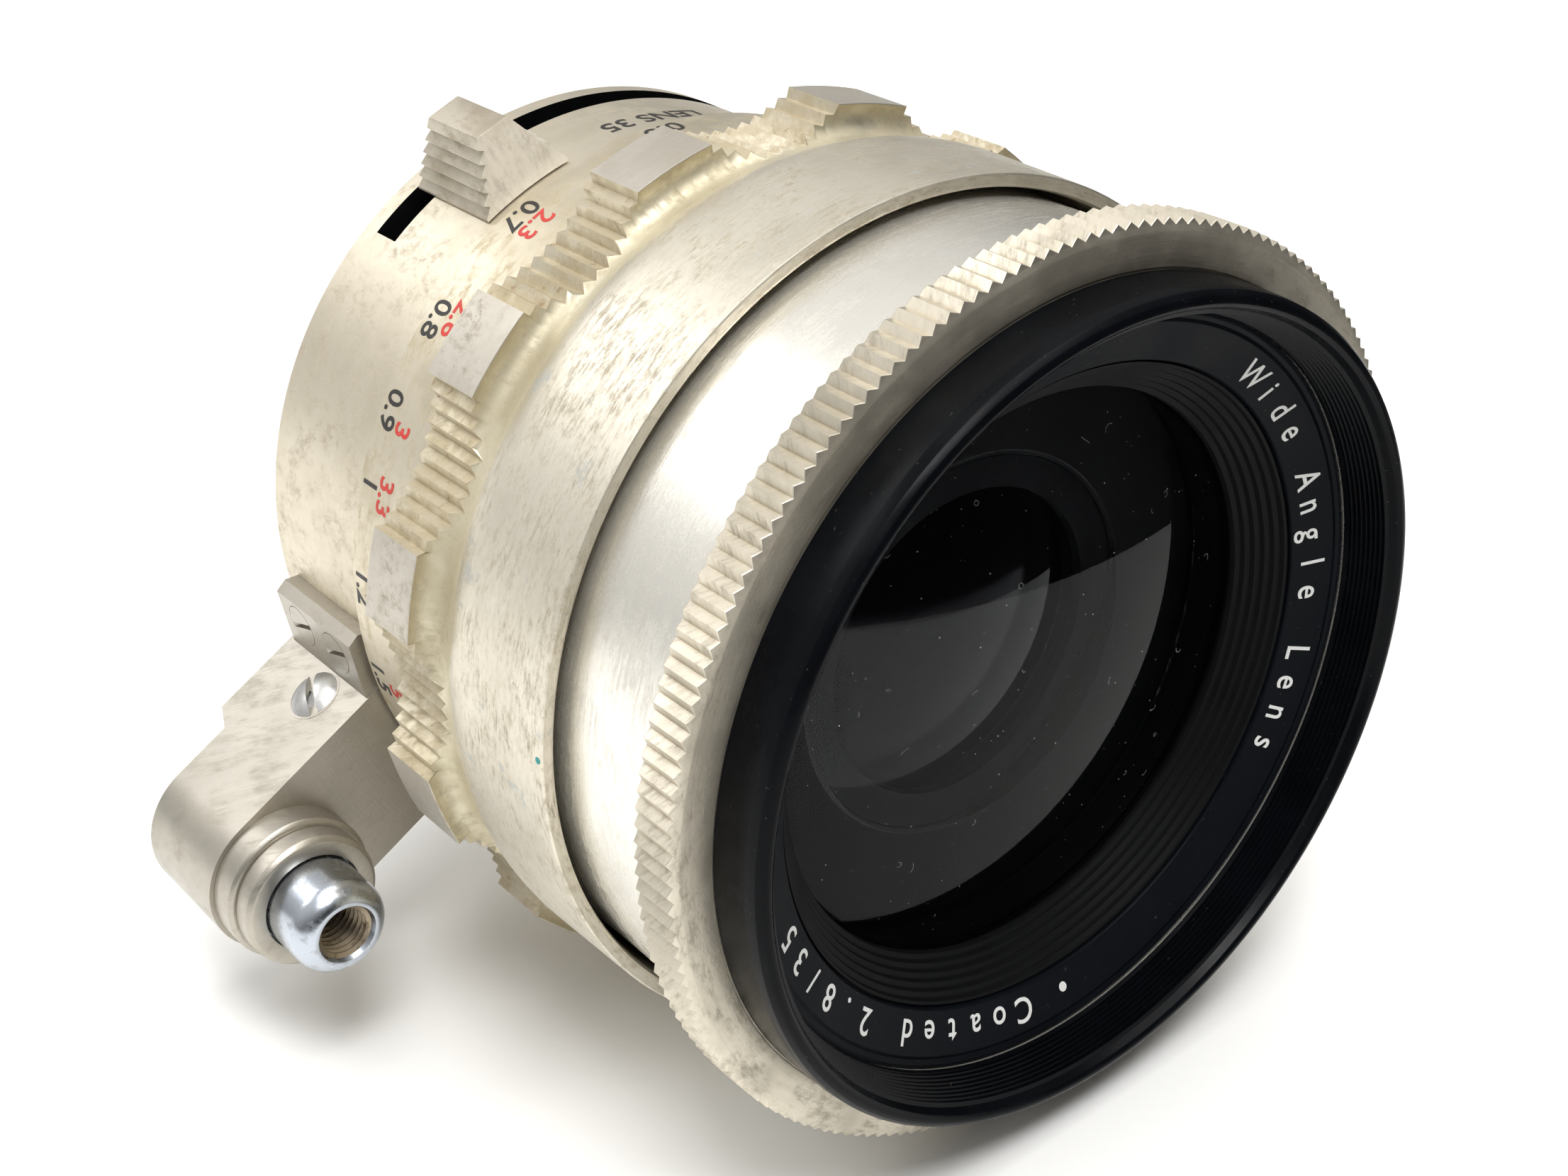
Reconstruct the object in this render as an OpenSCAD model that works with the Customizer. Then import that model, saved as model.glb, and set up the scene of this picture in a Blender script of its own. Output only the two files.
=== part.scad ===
// Wide-angle prime lens with a semi-automatic diaphragm and an outside release arm.
// Sizes are in millimetres. The optical axis is Y, the front faces -Y and +Z is up.
// The modules draw along the lens's own axis: z = 0 is the seat of the mount and
// z rises towards the front. A clock angle is 0 at the top and rises anticlockwise
// as seen from the front. The focusing helicoid is shown run out to its near stop.

/* [Fixed barrel] */
// Radius of the fixed rear barrel
barrel_r = 25; // [24.9:0.05:25.1]
// Radius of the bearing neck that the focusing ring turns on
neck_r = 24.1; // [24:0.05:24.15]
// Distance from the mount seat to the rear edge of the focusing ring
skirt_start = 12.3; // [12.25:0.05:12.4]
// Radius of the throat through the bayonet
throat_r = 16.8; // [16.4:0.1:17]
// Outer radius of the bayonet tube
bayonet_r = 18.9; // [18.7:0.1:19]
// Length of the bayonet tube behind the seat
bayonet_len = 5.2; // [5:0.1:5.6]
// Number of screws that hold the bayonet
bayonet_screw_count = 4; // [3:1:6]

/* [Focusing ring] */
// Radius of the skirt that carries the distance scale
skirt_r = 26; // [25.9:0.05:26.2]
// Radius over the smooth lobes of the grip
grip_r = 29.5; // [29.4:0.05:29.6]
// Rear face of the grip
grip_rear = 20.2; // [20.1:0.1:20.4]
// Number of lobes around the grip
lobe_count = 12; // [10:1:14]
// Knurl teeth across each hollow of the grip
hollow_teeth = 10; // [8:1:12]
// Radius of the bell in front of the grip
bell_r = 28.4; // [28.35:0.05:28.5]
// Front edge of the bell
bell_front = 37.4; // [37.2:0.1:37.8]
// Turn from the near stop to infinity, in degrees
focus_turn = 300; // [280:5:310]
// Travel of the front barrel over that turn
focus_travel = 4.75; // [4.5:0.05:4.8]

/* [Front barrel] */
// Radius of the smooth sliding barrel
slide_r = 26.8; // [26.7:0.05:26.9]
// Radius over the teeth of the aperture ring
aperture_r = 29.1; // [29:0.05:29.2]
// Number of teeth on the aperture ring
aperture_teeth = 180; // [160:4:200]
// Rear face of the aperture ring
aperture_rear = 47; // [47:0.05:47.1]
// Length of the aperture ring
aperture_len = 3.3; // [3.2:0.1:3.3]
// Front edge of the filter ring
rim_front = 54.2; // [54.2:0.1:54.6]
// Radius of the filter thread
filter_r = 24.5; // [24.4:0.05:24.5]

/* [Diaphragm] */
// Turn of the aperture ring from wide open to the smallest stop, in degrees
aperture_turn = 42; // [36:1:42]
// Turn of each blade over the same range, in degrees
blade_turn = 30; // [26:0.5:30]
// Radius of the open diaphragm
open_r = 10.6; // [10.4:0.1:10.7]

/* [Cocking lever] */
// Clock angle of the lever
lever_angle = 20.7; // [16:0.1:24]
// Height of the lever above the barrel
lever_height = 5.1; // [4.5:0.1:5.5]
// Clock angle of the slot's clockwise end
slot_right = -60; // [-70:1:-50]
// Clock angle of the slot's anticlockwise end
slot_left = 37.3; // [36:0.1:40]
// Width of the lever's slot
slot_width = 2.3; // [2.2:0.05:2.4]

/* [Release arm] */
// Clock angle of the arm
arm_angle = 118; // [116:1:120]
// Distance from the optical axis to the plunger
arm_reach = 37.9; // [37:0.1:39]
// Radius of the arm's round end
arm_end_r = 5.4; // [5.3:0.1:5.6]
// Radius of the release plunger
plunger_r = 3.3; // [3.2:0.05:3.35]
// Stroke of the release plunger
plunger_stroke = 2.2; // [2:0.1:2.2]
// Radius of the cable-release thread
cable_r = 1.75; // [1.6:0.05:1.8]

/* [Hidden] */
$fn = 96;
fit = 0.05;
slip = 0.1;
sliver = 0.01;

barrel_bore = barrel_r - 1.7;
neck_end = 20.2;
neck_step = 18.6;
neck_bore = neck_r - 1.15;
screw_ring_r = 20.5;
carrier_in = 21.7;
slot_rear = 1.55;

focus_bore = 26.4;
retainer_bore = 25.1;
nut_rear = 20.9;
bell_bore = 27.28;
groove_r = 1.15;
groove_at = [28.75, 25.95];
hollow_half = 114 / lobe_count;
hollow_floor = 27.75;
tooth_depth = 0.45;
// The hollow's arc passes through the lobe edges and the floor.
hollow_half_w = grip_r * sin(hollow_half);
hollow_sag = grip_r * cos(hollow_half) - hollow_floor;
hollow_arc = (pow(hollow_half_w, 2) + pow(hollow_sag, 2)) / (2 * hollow_sag);
hollow_sweep = 2 * asin(hollow_half_w / hollow_arc);

tube_r = 22.6;
tube_bore = 21.4;
tube_rear = 15;
web_rear = 31.6;
web_front = 33.2;
nose_r = 25.4;
nose_bore = 24.1;
nose_end = 50.9;
key_angles = [60, 240];
key_span = [13, 18.5];
pin_angles = [90, 270];
pin_height = 48.7;
click_angle = 200;
click_at = [26.1, 46.72];
click_ball_r = 0.5;

housing_rear = 31;
housing_floor = 31.8;
housing_bore = 19.85;
housing_r = 21.3;
housing_front = 34.95;
drive_rear = 33.5;
drive_front = 34.8;
drive_pin_angle = 150;
drive_pin_z = 34.3;
blade_count = 6;
blade_pivot_r = 18.3;
blade_gap = 0.22;
blade_t = 0.12;
blade_first = 31.95;
blade_in_r = 10.8;
blade_out_r = 16.9;
crank = 1.3;
blade_pin_r = 0.35;

arm_front = 11.9;
arm_rear = 3.25;
arm_root_rear = 1.4;
arm_side = [-6.3, 4.5];
arm_mid = -0.9;
foot_angle = 98.2;
foot_face = 26.7;
foot_screws_z = [4.4, 9];
pivot_at = [28.1, 7.6];
rocker_t = 1.6;
rocker_rest = asin(plunger_stroke / 2 / 7.2);
rocker_tip = 7.2;
groove_mid = pivot_at[1] + plunger_stroke / 2;
button_bore = 4.2;
collar_front = 14.1;
cap_front = 15.9;
plunger_front = 20.3;

SILVER = "gainsboro";
BLACK = "dimgray";
STEEL = "slategray";
BRASS = "goldenrod";
GLASS = "lightsteelblue";

// ---- helpers -------------------------------------------------------------

// Lays the lens's own axis along -Y.
module lens_axis() {
    rotate([90, 0, 0]) children();
}

// Turns +X to a clock angle, so that x is outward and y is anticlockwise.
module at_clock(angle) {
    rotate([0, 0, 90 + angle]) children();
}

// A plain ring, or a sector of one, between two radii and two heights.
module ring(r_in, r_out, z0, z1, sweep = 360) {
    rotate_extrude(angle = sweep) translate([r_in, z0]) square([r_out - r_in, z1 - z0]);
}

// A prism from an outline in the x-z plane, between two values of y.
module side_plate(y0, y1, outline) {
    translate([0, y1, 0]) rotate([90, 0, 0]) linear_extrude(y1 - y0) polygon(outline);
}

// A countersunk slotted screw: its head is flush with z = 0 and it points to -z.
module flush_screw(head_r, shank_r, len, slot_w = 0.35) {
    head_h = head_r - shank_r;
    difference() {
        union() {
            translate([0, 0, -head_h]) cylinder(r1 = shank_r, r2 = head_r, h = head_h, $fn = 48);
            translate([0, 0, -len]) cylinder(r = shank_r, h = len - head_h / 2, $fn = 48);
        }
        translate([-head_r, -slot_w / 2, -head_h * 0.55]) cube([2 * head_r, slot_w, head_h]);
    }
}

// The hole that a flush screw goes into, with a little room all round.
module flush_hole(head_r, shank_r, len) {
    head_h = head_r - shank_r;
    translate([0, 0, -head_h]) {
        cylinder(r1 = shank_r + fit, r2 = head_r + fit, h = head_h + sliver, $fn = 48);
    }
    translate([0, 0, -len - fit]) cylinder(r = shank_r + fit, h = len, $fn = 48);
}

// Points of a circle of the wire, carried around a helix.
function coil_point(r, wire_r, pitch, turn, side, sides) =
    let (a = 360 * turn, b = 360 * side / sides, rr = r + wire_r * cos(b))
    [rr * cos(a), rr * sin(a), pitch * turn + wire_r * sin(b)];

// A helical spring of round wire, from z = 0 up.
module coil(r, wire_r, height, turns, steps = 16, sides = 8) {
    rows = turns * steps;
    pitch = (height - 2 * wire_r) / turns;
    points = [for (i = [0:rows], j = [0:sides - 1])
        coil_point(r, wire_r, pitch, i / steps, j, sides)];
    walls = [for (i = [0:rows - 1], j = [0:sides - 1])
        let (k = (j + 1) % sides)
        [i * sides + j, (i + 1) * sides + j, (i + 1) * sides + k, i * sides + k]];
    first = [for (j = [0:sides - 1]) j];
    last = [for (j = [sides - 1:-1:0]) rows * sides + j];
    translate([0, 0, wire_r]) polyhedron(points, concat(walls, [first, last]), convexity = 10);
}

// ---- fixed body ----------------------------------------------------------

module rear_barrel() {
    color(SILVER) lens_axis() difference() {
        rotate_extrude() polygon([
            [19.3, 0.8], [22.3, 0.8], [22.3, 0], [barrel_r - 0.2, 0], [barrel_r, 0.2],
            [barrel_r, skirt_start - slip], [neck_r, skirt_start - slip], [neck_r, neck_step],
            [23.5, neck_step], [23.5, neck_end], [neck_bore, neck_end], [neck_bore, 12],
            [barrel_bore, 11.4], [barrel_bore, 1.35], [21.6, 1.35], [21.6, 4.2], [19.3, 4.2]
        ]);
        at_clock(slot_right) {
            ring(22.5, 26, slot_rear, slot_rear + slot_width, slot_left - slot_right);
        }
        at_clock(arm_angle) translate([22, arm_mid - 1.1, 5]) cube([4, 2.2, 5.3]);
        for (i = [0:bayonet_screw_count - 1]) {
            at_clock(45 + i * 360 / bayonet_screw_count) translate([screw_ring_r, 0, 0]) {
                mirror([0, 0, 1]) flush_hole(1.2, 0.6, 3.2);
            }
        }
        at_clock(foot_angle) for (z = foot_screws_z) {
            translate([foot_face, 0.5, z]) rotate([0, 90, 0]) flush_hole(1.5, 0.7, 3.2);
        }
    }
}

module bayonet_ring() {
    color(STEEL) lens_axis() difference() {
        union() {
            rotate_extrude() polygon([
                [throat_r, -bayonet_len], [bayonet_r, -bayonet_len], [bayonet_r, 0],
                [22.3, 0], [22.3, 0.8], [throat_r, 0.8]
            ]);
            for (i = [0:2]) {
                at_clock(i * 120 - 26) ring(bayonet_r - 0.2, 20, -bayonet_len, -4, 52);
            }
        }
        for (i = [0:bayonet_screw_count - 1]) {
            at_clock(45 + i * 360 / bayonet_screw_count) translate([screw_ring_r, 0, 0]) {
                mirror([0, 0, 1]) flush_hole(1.2, 0.6, 3.2);
            }
        }
    }
}

module bayonet_screws() {
    color(STEEL) lens_axis() for (i = [0:bayonet_screw_count - 1]) {
        at_clock(45 + i * 360 / bayonet_screw_count) translate([screw_ring_r, 0, 0]) {
            mirror([0, 0, 1]) flush_screw(1.2, 0.6, 3.2);
        }
    }
}

// Keys that stop the sliding barrel from turning.
module guide_keys() {
    color(BRASS) lens_axis() for (a = key_angles) at_clock(a) intersection() {
        translate([tube_bore + 0.2, -1.2, key_span[0]]) cube([3, 2.4, key_span[1] - key_span[0]]);
        cylinder(r = neck_bore, h = 30);
    }
}

module focus_retainer() {
    color(BRASS) lens_axis() difference() {
        ring(23.5, retainer_bore - slip, neck_step, neck_step + 1.5);
        for (a = [0, 180]) at_clock(a) translate([23, -0.8, neck_step + 0.8]) cube([4, 1.6, 1]);
    }
}

// ---- release arm ---------------------------------------------------------

// Moves to the plunger's own axis.
module at_plunger() {
    at_clock(arm_angle) translate([arm_reach, arm_mid, 0]) children();
}

module arm_bracket() {
    color(SILVER) lens_axis() difference() {
        union() {
            at_clock(arm_angle) {
                translate([0, 0, arm_rear]) linear_extrude(arm_front - arm_rear) {
                    translate([22, arm_side[0]]) square([arm_reach - 22, 2 * arm_end_r]);
                    translate([arm_reach, arm_mid]) circle(r = arm_end_r);
                }
                side_plate(arm_side[0], arm_side[1], [
                    [22, arm_root_rear], [32.7, arm_root_rear], [33.9, arm_rear + 0.5],
                    [33.9, arm_front], [22, arm_front]
                ]);
            }
            at_clock(foot_angle) translate([0, 0, arm_root_rear + 0.5]) {
                linear_extrude(arm_front - arm_root_rear - 0.7) {
                    polygon([[22, -1.1], [foot_face - 0.8, -1.8], [foot_face, -1.3],
                        [foot_face, 3.3], [22, 6]]);
                }
            }
        }
        cylinder(r = barrel_r + sliver, h = 60, center = true);
        at_clock(foot_angle) for (z = foot_screws_z) {
            translate([foot_face, 0.5, z]) rotate([0, 90, 0]) flush_hole(1.5, 0.7, 3.2);
        }
        at_clock(arm_angle) {
            translate([23, arm_mid - 1, 5.1]) cube([arm_reach - 23, 2, 5.1]);
            translate([pivot_at[0], arm_side[0], pivot_at[1]]) rotate([90, 0, 0]) {
                translate([0, 0, -9]) cylinder(r = 1.05, h = 10, $fn = 48);
                translate([0, 0, -0.9]) cylinder(r1 = 1.05, r2 = 1.95, h = 1, $fn = 48);
            }
        }
        at_plunger() {
            translate([0, 0, 4.5]) cylinder(r = plunger_r + slip, h = 20);
            translate([0, 0, 10.4]) cylinder(r = button_bore, h = 20);
            cylinder(r = 1.3, h = 20, center = true);
        }
    }
}

module arm_foot_screws() {
    color(STEEL) lens_axis() at_clock(foot_angle) for (z = foot_screws_z) {
        translate([foot_face, 0.5, z]) rotate([0, 90, 0]) rotate([0, 0, 20]) {
            flush_screw(1.5, 0.7, 3.2);
        }
    }
}

// The domed screw that the trip rocker swings on.
module arm_pivot_screw() {
    color(STEEL) lens_axis() at_clock(arm_angle) {
        translate([pivot_at[0], arm_side[0], pivot_at[1]]) rotate([90, 0, 0]) difference() {
            rotate_extrude() {
                polygon([[0, -8.8], [1, -8.8], [1, -0.85], [1.8, -0.05], [1.8, 0.02], [0, 0.02]]);
                intersection() {
                    translate([0, 0.6 - 3.15]) circle(r = 3.15);
                    square([1.8, 1]);
                }
            }
            rotate([0, 0, 57]) translate([-3, -0.3, -0.1]) cube([6, 0.6, 2]);
        }
    }
}

module button_collar() {
    color(SILVER) lens_axis() at_plunger() rotate_extrude() polygon([
        [button_bore, arm_front], [5.1, arm_front], [5.1, collar_front - 0.25],
        [4.85, collar_front], [button_bore, collar_front]
    ]);
}

module button_cap() {
    color(SILVER) lens_axis() at_plunger() rotate_extrude() polygon([
        [button_bore, collar_front], [4.7, collar_front], [4.7, cap_front - 0.3],
        [4.4, cap_front], [plunger_r + slip, cap_front], [plunger_r + slip, cap_front - 0.9],
        [button_bore, cap_front - 0.9]
    ]);
}

module plunger_spring() {
    color(STEEL) lens_axis() at_plunger() translate([0, 0, 10.45]) coil(3.75, 0.2, 3.7, 2.5);
}

module release_plunger() {
    color(STEEL) lens_axis() at_plunger() difference() {
        rotate_extrude() polygon([
            [0, 2.6], [0.9, 2.6], [1.2, 2.9], [1.2, 6.95], [plunger_r, 6.95],
            [plunger_r, groove_mid - 1.15], [1.4, groove_mid - 1.15],
            [1.4, groove_mid + 1.15], [plunger_r, groove_mid + 1.15],
            [plunger_r, 14.2], [4.05, 14.2], [4.05, 14.9], [plunger_r, 14.9],
            [plunger_r, plunger_front - 1.6], [3.1, plunger_front - 0.8],
            [2.75, plunger_front - 0.25], [2.35, plunger_front], [0, plunger_front]
        ]);
        translate([0, 0, plunger_front - 5]) cylinder(r = cable_r, h = 6, $fn = 48);
        translate([0, 0, plunger_front - 0.3]) {
            cylinder(r1 = cable_r - sliver, r2 = cable_r + 0.3, h = 0.31, $fn = 48);
        }
    }
}

// The rocker that carries the plunger's stroke into the barrel.
module trip_rocker() {
    color(BRASS) lens_axis() at_clock(arm_angle) {
        translate([pivot_at[0], arm_mid + rocker_t / 2, pivot_at[1]]) rotate([90, -rocker_rest, 0]) {
            linear_extrude(rocker_t) difference() {
                union() {
                    polygon([[-5.2, -0.8], [0, -1.5], [rocker_tip, -0.6],
                        [rocker_tip, 0.6], [0, 1.5], [-5.2, 0.8]]);
                    circle(r = 1.9, $fn = 48);
                    translate([rocker_tip, 0]) circle(r = 1, $fn = 48);
                    translate([-5.4, 0]) circle(r = 1, $fn = 48);
                }
                circle(r = 1 + fit, $fn = 48);
            }
        }
    }
}

// ---- cocking lever -------------------------------------------------------

// The lever's outline across the lens: a serrated front face, a top and a ramp.
function lever_outline(teeth) = concat(
    [[24, -3.5], [25.2, -3.5], [barrel_r + lever_height - 0.6, -1.3],
        [barrel_r + lever_height, -0.9], [barrel_r + lever_height, 1.5]],
    [for (i = [0:teeth - 1]) each
        let (r = barrel_r + lever_height - 0.7 - i * 0.85, y = 1.75 + i * 0.33)
        [[r, y], [r - 0.3, y - 0.35]]],
    [[25.1, 3.3], [24, 3.3]]
);

module cocking_lever() {
    color(SILVER) lens_axis() at_clock(lever_angle) {
        difference() {
            translate([0, 0, slot_rear + 0.2]) linear_extrude(10.4 - slot_rear - 0.2) {
                polygon(lever_outline(5));
            }
            cylinder(r = barrel_r + slip, h = 60, center = true);
            translate([barrel_r, -6, slot_rear + 0.45]) rotate([0, -28, 0]) {
                translate([-2, 0, -5]) cube([12, 12, 5]);
            }
        }
        intersection() {
            translate([23, -2.4, slot_rear + 0.2]) cube([3, 4.8, slot_width - 0.4]);
            difference() {
                cylinder(r = barrel_r + 0.6, h = 10);
                cylinder(r = barrel_bore - slip, h = 30, center = true);
            }
        }
    }
}

module lever_carrier() {
    color(BLACK) lens_axis() difference() {
        ring(carrier_in, barrel_bore - slip, 1.45, 4.15);
        at_clock(lever_angle) for (y = [-1.3, 1.3]) {
            translate([20, y, slot_rear + slot_width / 2]) rotate([0, 90, 0]) {
                cylinder(r = 0.5, h = 5, $fn = 32);
            }
        }
    }
}

module lever_screws() {
    color(STEEL) lens_axis() at_clock(lever_angle) for (y = [-1.3, 1.3]) intersection() {
        translate([carrier_in + 0.1, y, slot_rear + slot_width / 2]) rotate([0, 90, 0]) {
            cylinder(r = 0.5 - sliver, h = 5, $fn = 32);
        }
        cylinder(r = barrel_bore - slip - sliver, h = 10);
    }
}

// ---- focusing ring -------------------------------------------------------

// The outline of one knurled hollow: V teeth set along an arc.
module hollow_outline() {
    centre = hollow_floor + hollow_arc;
    step = hollow_sweep / hollow_teeth;
    arc = [for (i = [0:2 * hollow_teeth])
        let (a = 180 - hollow_sweep / 2 + i * step / 2,
            r = hollow_arc + (i % 2 == 1 ? tooth_depth : 0))
        [centre + r * cos(a), r * sin(a)]];
    polygon(concat([[31, hollow_half_w + 0.5]], arc, [[31, -hollow_half_w - 0.5]]));
}

module focus_ring() {
    color(SILVER) lens_axis() difference() {
        rotate_extrude() difference() {
            polygon([
                [neck_r + fit, skirt_start], [skirt_r - 0.2, skirt_start],
                [skirt_r, skirt_start + 0.2], [skirt_r, grip_rear], [grip_r - 0.2, grip_rear],
                [grip_r, grip_rear + 0.2], [grip_r, 25.6], [27.85, 26.9], [28.15, 27.9], [28.35, 29.2],
                [bell_r - 0.15, bell_front - 0.1], [bell_r - 0.3, bell_front],
                [27.6, bell_front], [bell_bore, bell_front - 0.5], [bell_bore, 26.5], [focus_bore, 26.5],
                [focus_bore, nut_rear], [retainer_bore, nut_rear],
                [retainer_bore, neck_step - fit], [neck_r + fit, neck_step - fit]
            ]);
            translate(groove_at) circle(r = groove_r);
        }
        for (i = [0:lobe_count - 1]) {
            at_clock(i * 360 / lobe_count) translate([0, 0, grip_rear - 0.5]) {
                linear_extrude(groove_at[1] - grip_rear + 0.5) hollow_outline();
            }
        }
        nut_screw_holes(0.6 + sliver);
    }
}

// Three blind holes on the seam between the nut and the ring.
module nut_screw_holes(r) {
    for (i = [0:2]) at_clock(15 + i * 120) translate([focus_bore, 0, 24]) {
        cylinder(r = r, h = 3, $fn = 32);
    }
}

module focus_nut() {
    color(BRASS) lens_axis() difference() {
        ring(tube_r + fit, focus_bore, nut_rear, 25.9);
        nut_screw_holes(0.6 + sliver);
    }
}

module nut_screws() {
    color(STEEL) lens_axis() intersection() {
        nut_screw_holes(0.6);
        cylinder(r = 40, h = 25.8);
    }
}

// ---- front barrel --------------------------------------------------------

module front_barrel() {
    color(SILVER) lens_axis() difference() {
        rotate_extrude() polygon([
            [tube_bore, tube_rear], [tube_r, tube_rear], [tube_r, web_rear],
            [slide_r, web_rear], [slide_r, aperture_rear - slip],
            [nose_r, aperture_rear - slip], [nose_r, nose_end], [nose_bore, nose_end],
            [nose_bore, web_front], [tube_bore, web_front]
        ]);
        for (a = key_angles) at_clock(a) {
            translate([20, -1.3, tube_rear - 1]) cube([4, 2.6, 9.8]);
        }
        for (a = pin_angles) at_clock(a - aperture_turn - 2.5) {
            ring(nose_bore - 1, nose_r + 1, pin_height - 0.6, pin_height + 0.6, aperture_turn + 5);
        }
        at_clock(click_angle) translate([click_at[0], 0, 44.4]) {
            cylinder(r = click_ball_r + fit, h = 5, $fn = 32);
        }
        for (i = [0:2]) at_clock(30 + i * 120) translate([22.3, 0, web_front - 1.2]) {
            cylinder(r = 0.45, h = 3, $fn = 32);
        }
    }
}

module iris_housing() {
    color(BLACK) lens_axis() difference() {
        rotate_extrude() polygon([
            [open_r, housing_rear], [housing_r, housing_rear], [housing_r, web_front],
            [23, web_front], [23, web_front + 0.5], [housing_r, web_front + 0.5],
            [housing_r, housing_front], [housing_bore, housing_front],
            [housing_bore, drive_rear - 0.15], [19.3, drive_rear - 0.15],
            [19.3, housing_floor], [open_r, housing_floor]
        ]);
        for (i = [0:blade_count - 1]) at_clock(i * 360 / blade_count) {
            translate([blade_pivot_r, 0, housing_rear - 1]) {
                cylinder(r = blade_pin_r + fit, h = 3, $fn = 32);
            }
        }
        at_clock(drive_pin_angle - aperture_turn - 2) {
            ring(housing_bore - 0.5, 22, drive_rear + 0.35, 36, aperture_turn + 4);
        }
        for (i = [0:2]) at_clock(30 + i * 120) translate([22.3, 0, web_front]) {
            cylinder(r = 0.5, h = 5, $fn = 32);
        }
    }
}

module housing_screws() {
    color(STEEL) lens_axis() for (i = [0:2]) {
        at_clock(30 + i * 120) translate([22.3, 0, web_front]) {
            translate([0, 0, -1.1]) cylinder(r = 0.42, h = 1.6, $fn = 32);
        }
    }
}

module front_cell() {
    color(BLACK) lens_axis() rotate_extrude() polygon([
        [10.2, housing_front], [22.9, housing_front], [22.9, 48.8], [20.6, 48.8],
        [20.6, 46.3], [18.65, 46.3], [18.65, 39.6], [12, 39.6], [12, 38.8], [11, 38.8],
        [11, 36.2], [10.2, 36.2]
    ]);
}

// The front element's retaining ring, turned in steps that stop stray light.
module front_retainer() {
    steps = 5;
    color(BLACK) lens_axis() rotate_extrude() polygon(concat(
        [[20.55, 46.35], [20.55, 49.1]],
        [for (i = [steps - 1:-1:0]) each
            [[18.3 + (i + 1) * 0.4, 46.9 + (i + 1) * 0.44 - 0.2],
                [18.3 + i * 0.4 + 0.1, 46.9 + i * 0.44 + 0.2]]],
        [[18.3, 46.8], [18.3, 46.35]]
    ));
}

module name_ring() {
    color(BLACK) lens_axis() rotate_extrude() polygon([
        [20.7, 49.0], [22.9, 49.0], [22.9, 49.98], [nose_bore - fit, 49.98],
        [nose_bore - fit, 50.5], [23.35, 50.55], [20.7, 49.4]
    ]);
}

module filter_ring() {
    rear = aperture_rear + aperture_len + fit;
    color(BLACK) lens_axis() rotate_extrude() polygon([
        [nose_r + fit, rear], [26.23, rear], [26.18, rim_front - 1], [26.1, rim_front - 0.45],
        [25.85, rim_front - 0.1], [25.6, rim_front], [25.35, rim_front],
        [25.1, rim_front - 0.12], [24.95, rim_front - 0.35], [filter_r, rim_front - 0.6],
        [filter_r, nose_end + 0.4], [nose_bore + 0.1, nose_end + 0.4],
        [nose_bore + 0.1, nose_end + fit], [nose_r + fit, nose_end + fit]
    ]);
}

module inner_retainer() {
    color(BLACK) lens_axis() ring(10, 11.95, 38.95, 39.55);
}

module rear_cell() {
    color(BLACK) lens_axis() rotate_extrude() polygon([
        [12.1, 6], [13.6, 6], [13.6, 24], [16, 25.5], [16, housing_rear],
        [11, housing_rear], [11, 28.05], [10.1, 28.05], [10.1, 22.1], [9.2, 22.1],
        [9.2, 18.5], [11.1, 18.5], [11.1, 12.8], [12.1, 12.8]
    ]);
}

module doublet_retainer() {
    color(BLACK) lens_axis() ring(9.3, 10.95, 28.06, 29);
}

module rear_spacer() {
    color(BLACK) lens_axis() ring(10, 11.05, 12, 16.75);
}

module rear_retainer() {
    color(BLACK) lens_axis() rotate_extrude() polygon([
        [10.8, 9.45], [10.8, 7.6], [11.6, 6.4], [12.05, 6.4], [12.05, 9.45]
    ]);
}

// ---- glass ---------------------------------------------------------------

// Half of a lens's section between two spherical faces. A vertex is a height on
// the axis; a positive radius has its centre behind the vertex.
module lens_section(edge_r, z0, z1, front_vertex, front_r, rear_vertex, rear_r) {
    difference() {
        intersection() {
            translate([0, z0]) square([edge_r, z1 - z0]);
            if (front_r > 0) {
                translate([0, front_vertex - front_r]) circle(r = front_r, $fn = 180);
            }
            if (rear_r < 0) {
                translate([0, rear_vertex - rear_r]) circle(r = -rear_r, $fn = 180);
            }
        }
        if (front_r < 0) {
            translate([0, front_vertex - front_r]) circle(r = -front_r, $fn = 180);
        }
        if (rear_r > 0) {
            translate([0, rear_vertex - rear_r]) circle(r = rear_r, $fn = 180);
        }
    }
}

module front_element() {
    color(GLASS) lens_axis() rotate_extrude() {
        lens_section(18.6, 39.6, 50, 48.3, 75, 41.9, 34);
    }
}

module second_element() {
    color(GLASS) lens_axis() rotate_extrude() {
        lens_section(10.95, 34, 42, 40.5, 32, 35.4, -60);
    }
}

module third_element() {
    color(GLASS) lens_axis() rotate_extrude() {
        lens_section(10.05, 21, 30, 27.2, -60, 24.2, 30);
    }
}

module fourth_element() {
    color(GLASS) lens_axis() rotate_extrude() {
        lens_section(10.05, 21, 30, 24.2, 30, 21.2, -45);
    }
}

module fifth_element() {
    color(GLASS) lens_axis() rotate_extrude() {
        lens_section(11.05, 15.45, 20, 18.9, 90, 15.5, -40);
    }
}

module sixth_element() {
    color(GLASS) lens_axis() rotate_extrude() {
        lens_section(12.05, 8.5, 13, 12.4, 120, 8.5, -60);
    }
}

// ---- aperture ------------------------------------------------------------

// A star of straight teeth round the aperture ring.
module tooth_star() {
    count = aperture_teeth;
    polygon([for (i = [0:2 * count - 1])
        let (r = aperture_r - (i % 2) * 0.5, a = i * 180 / count)
        [r * cos(a), r * sin(a)]]);
}

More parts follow.
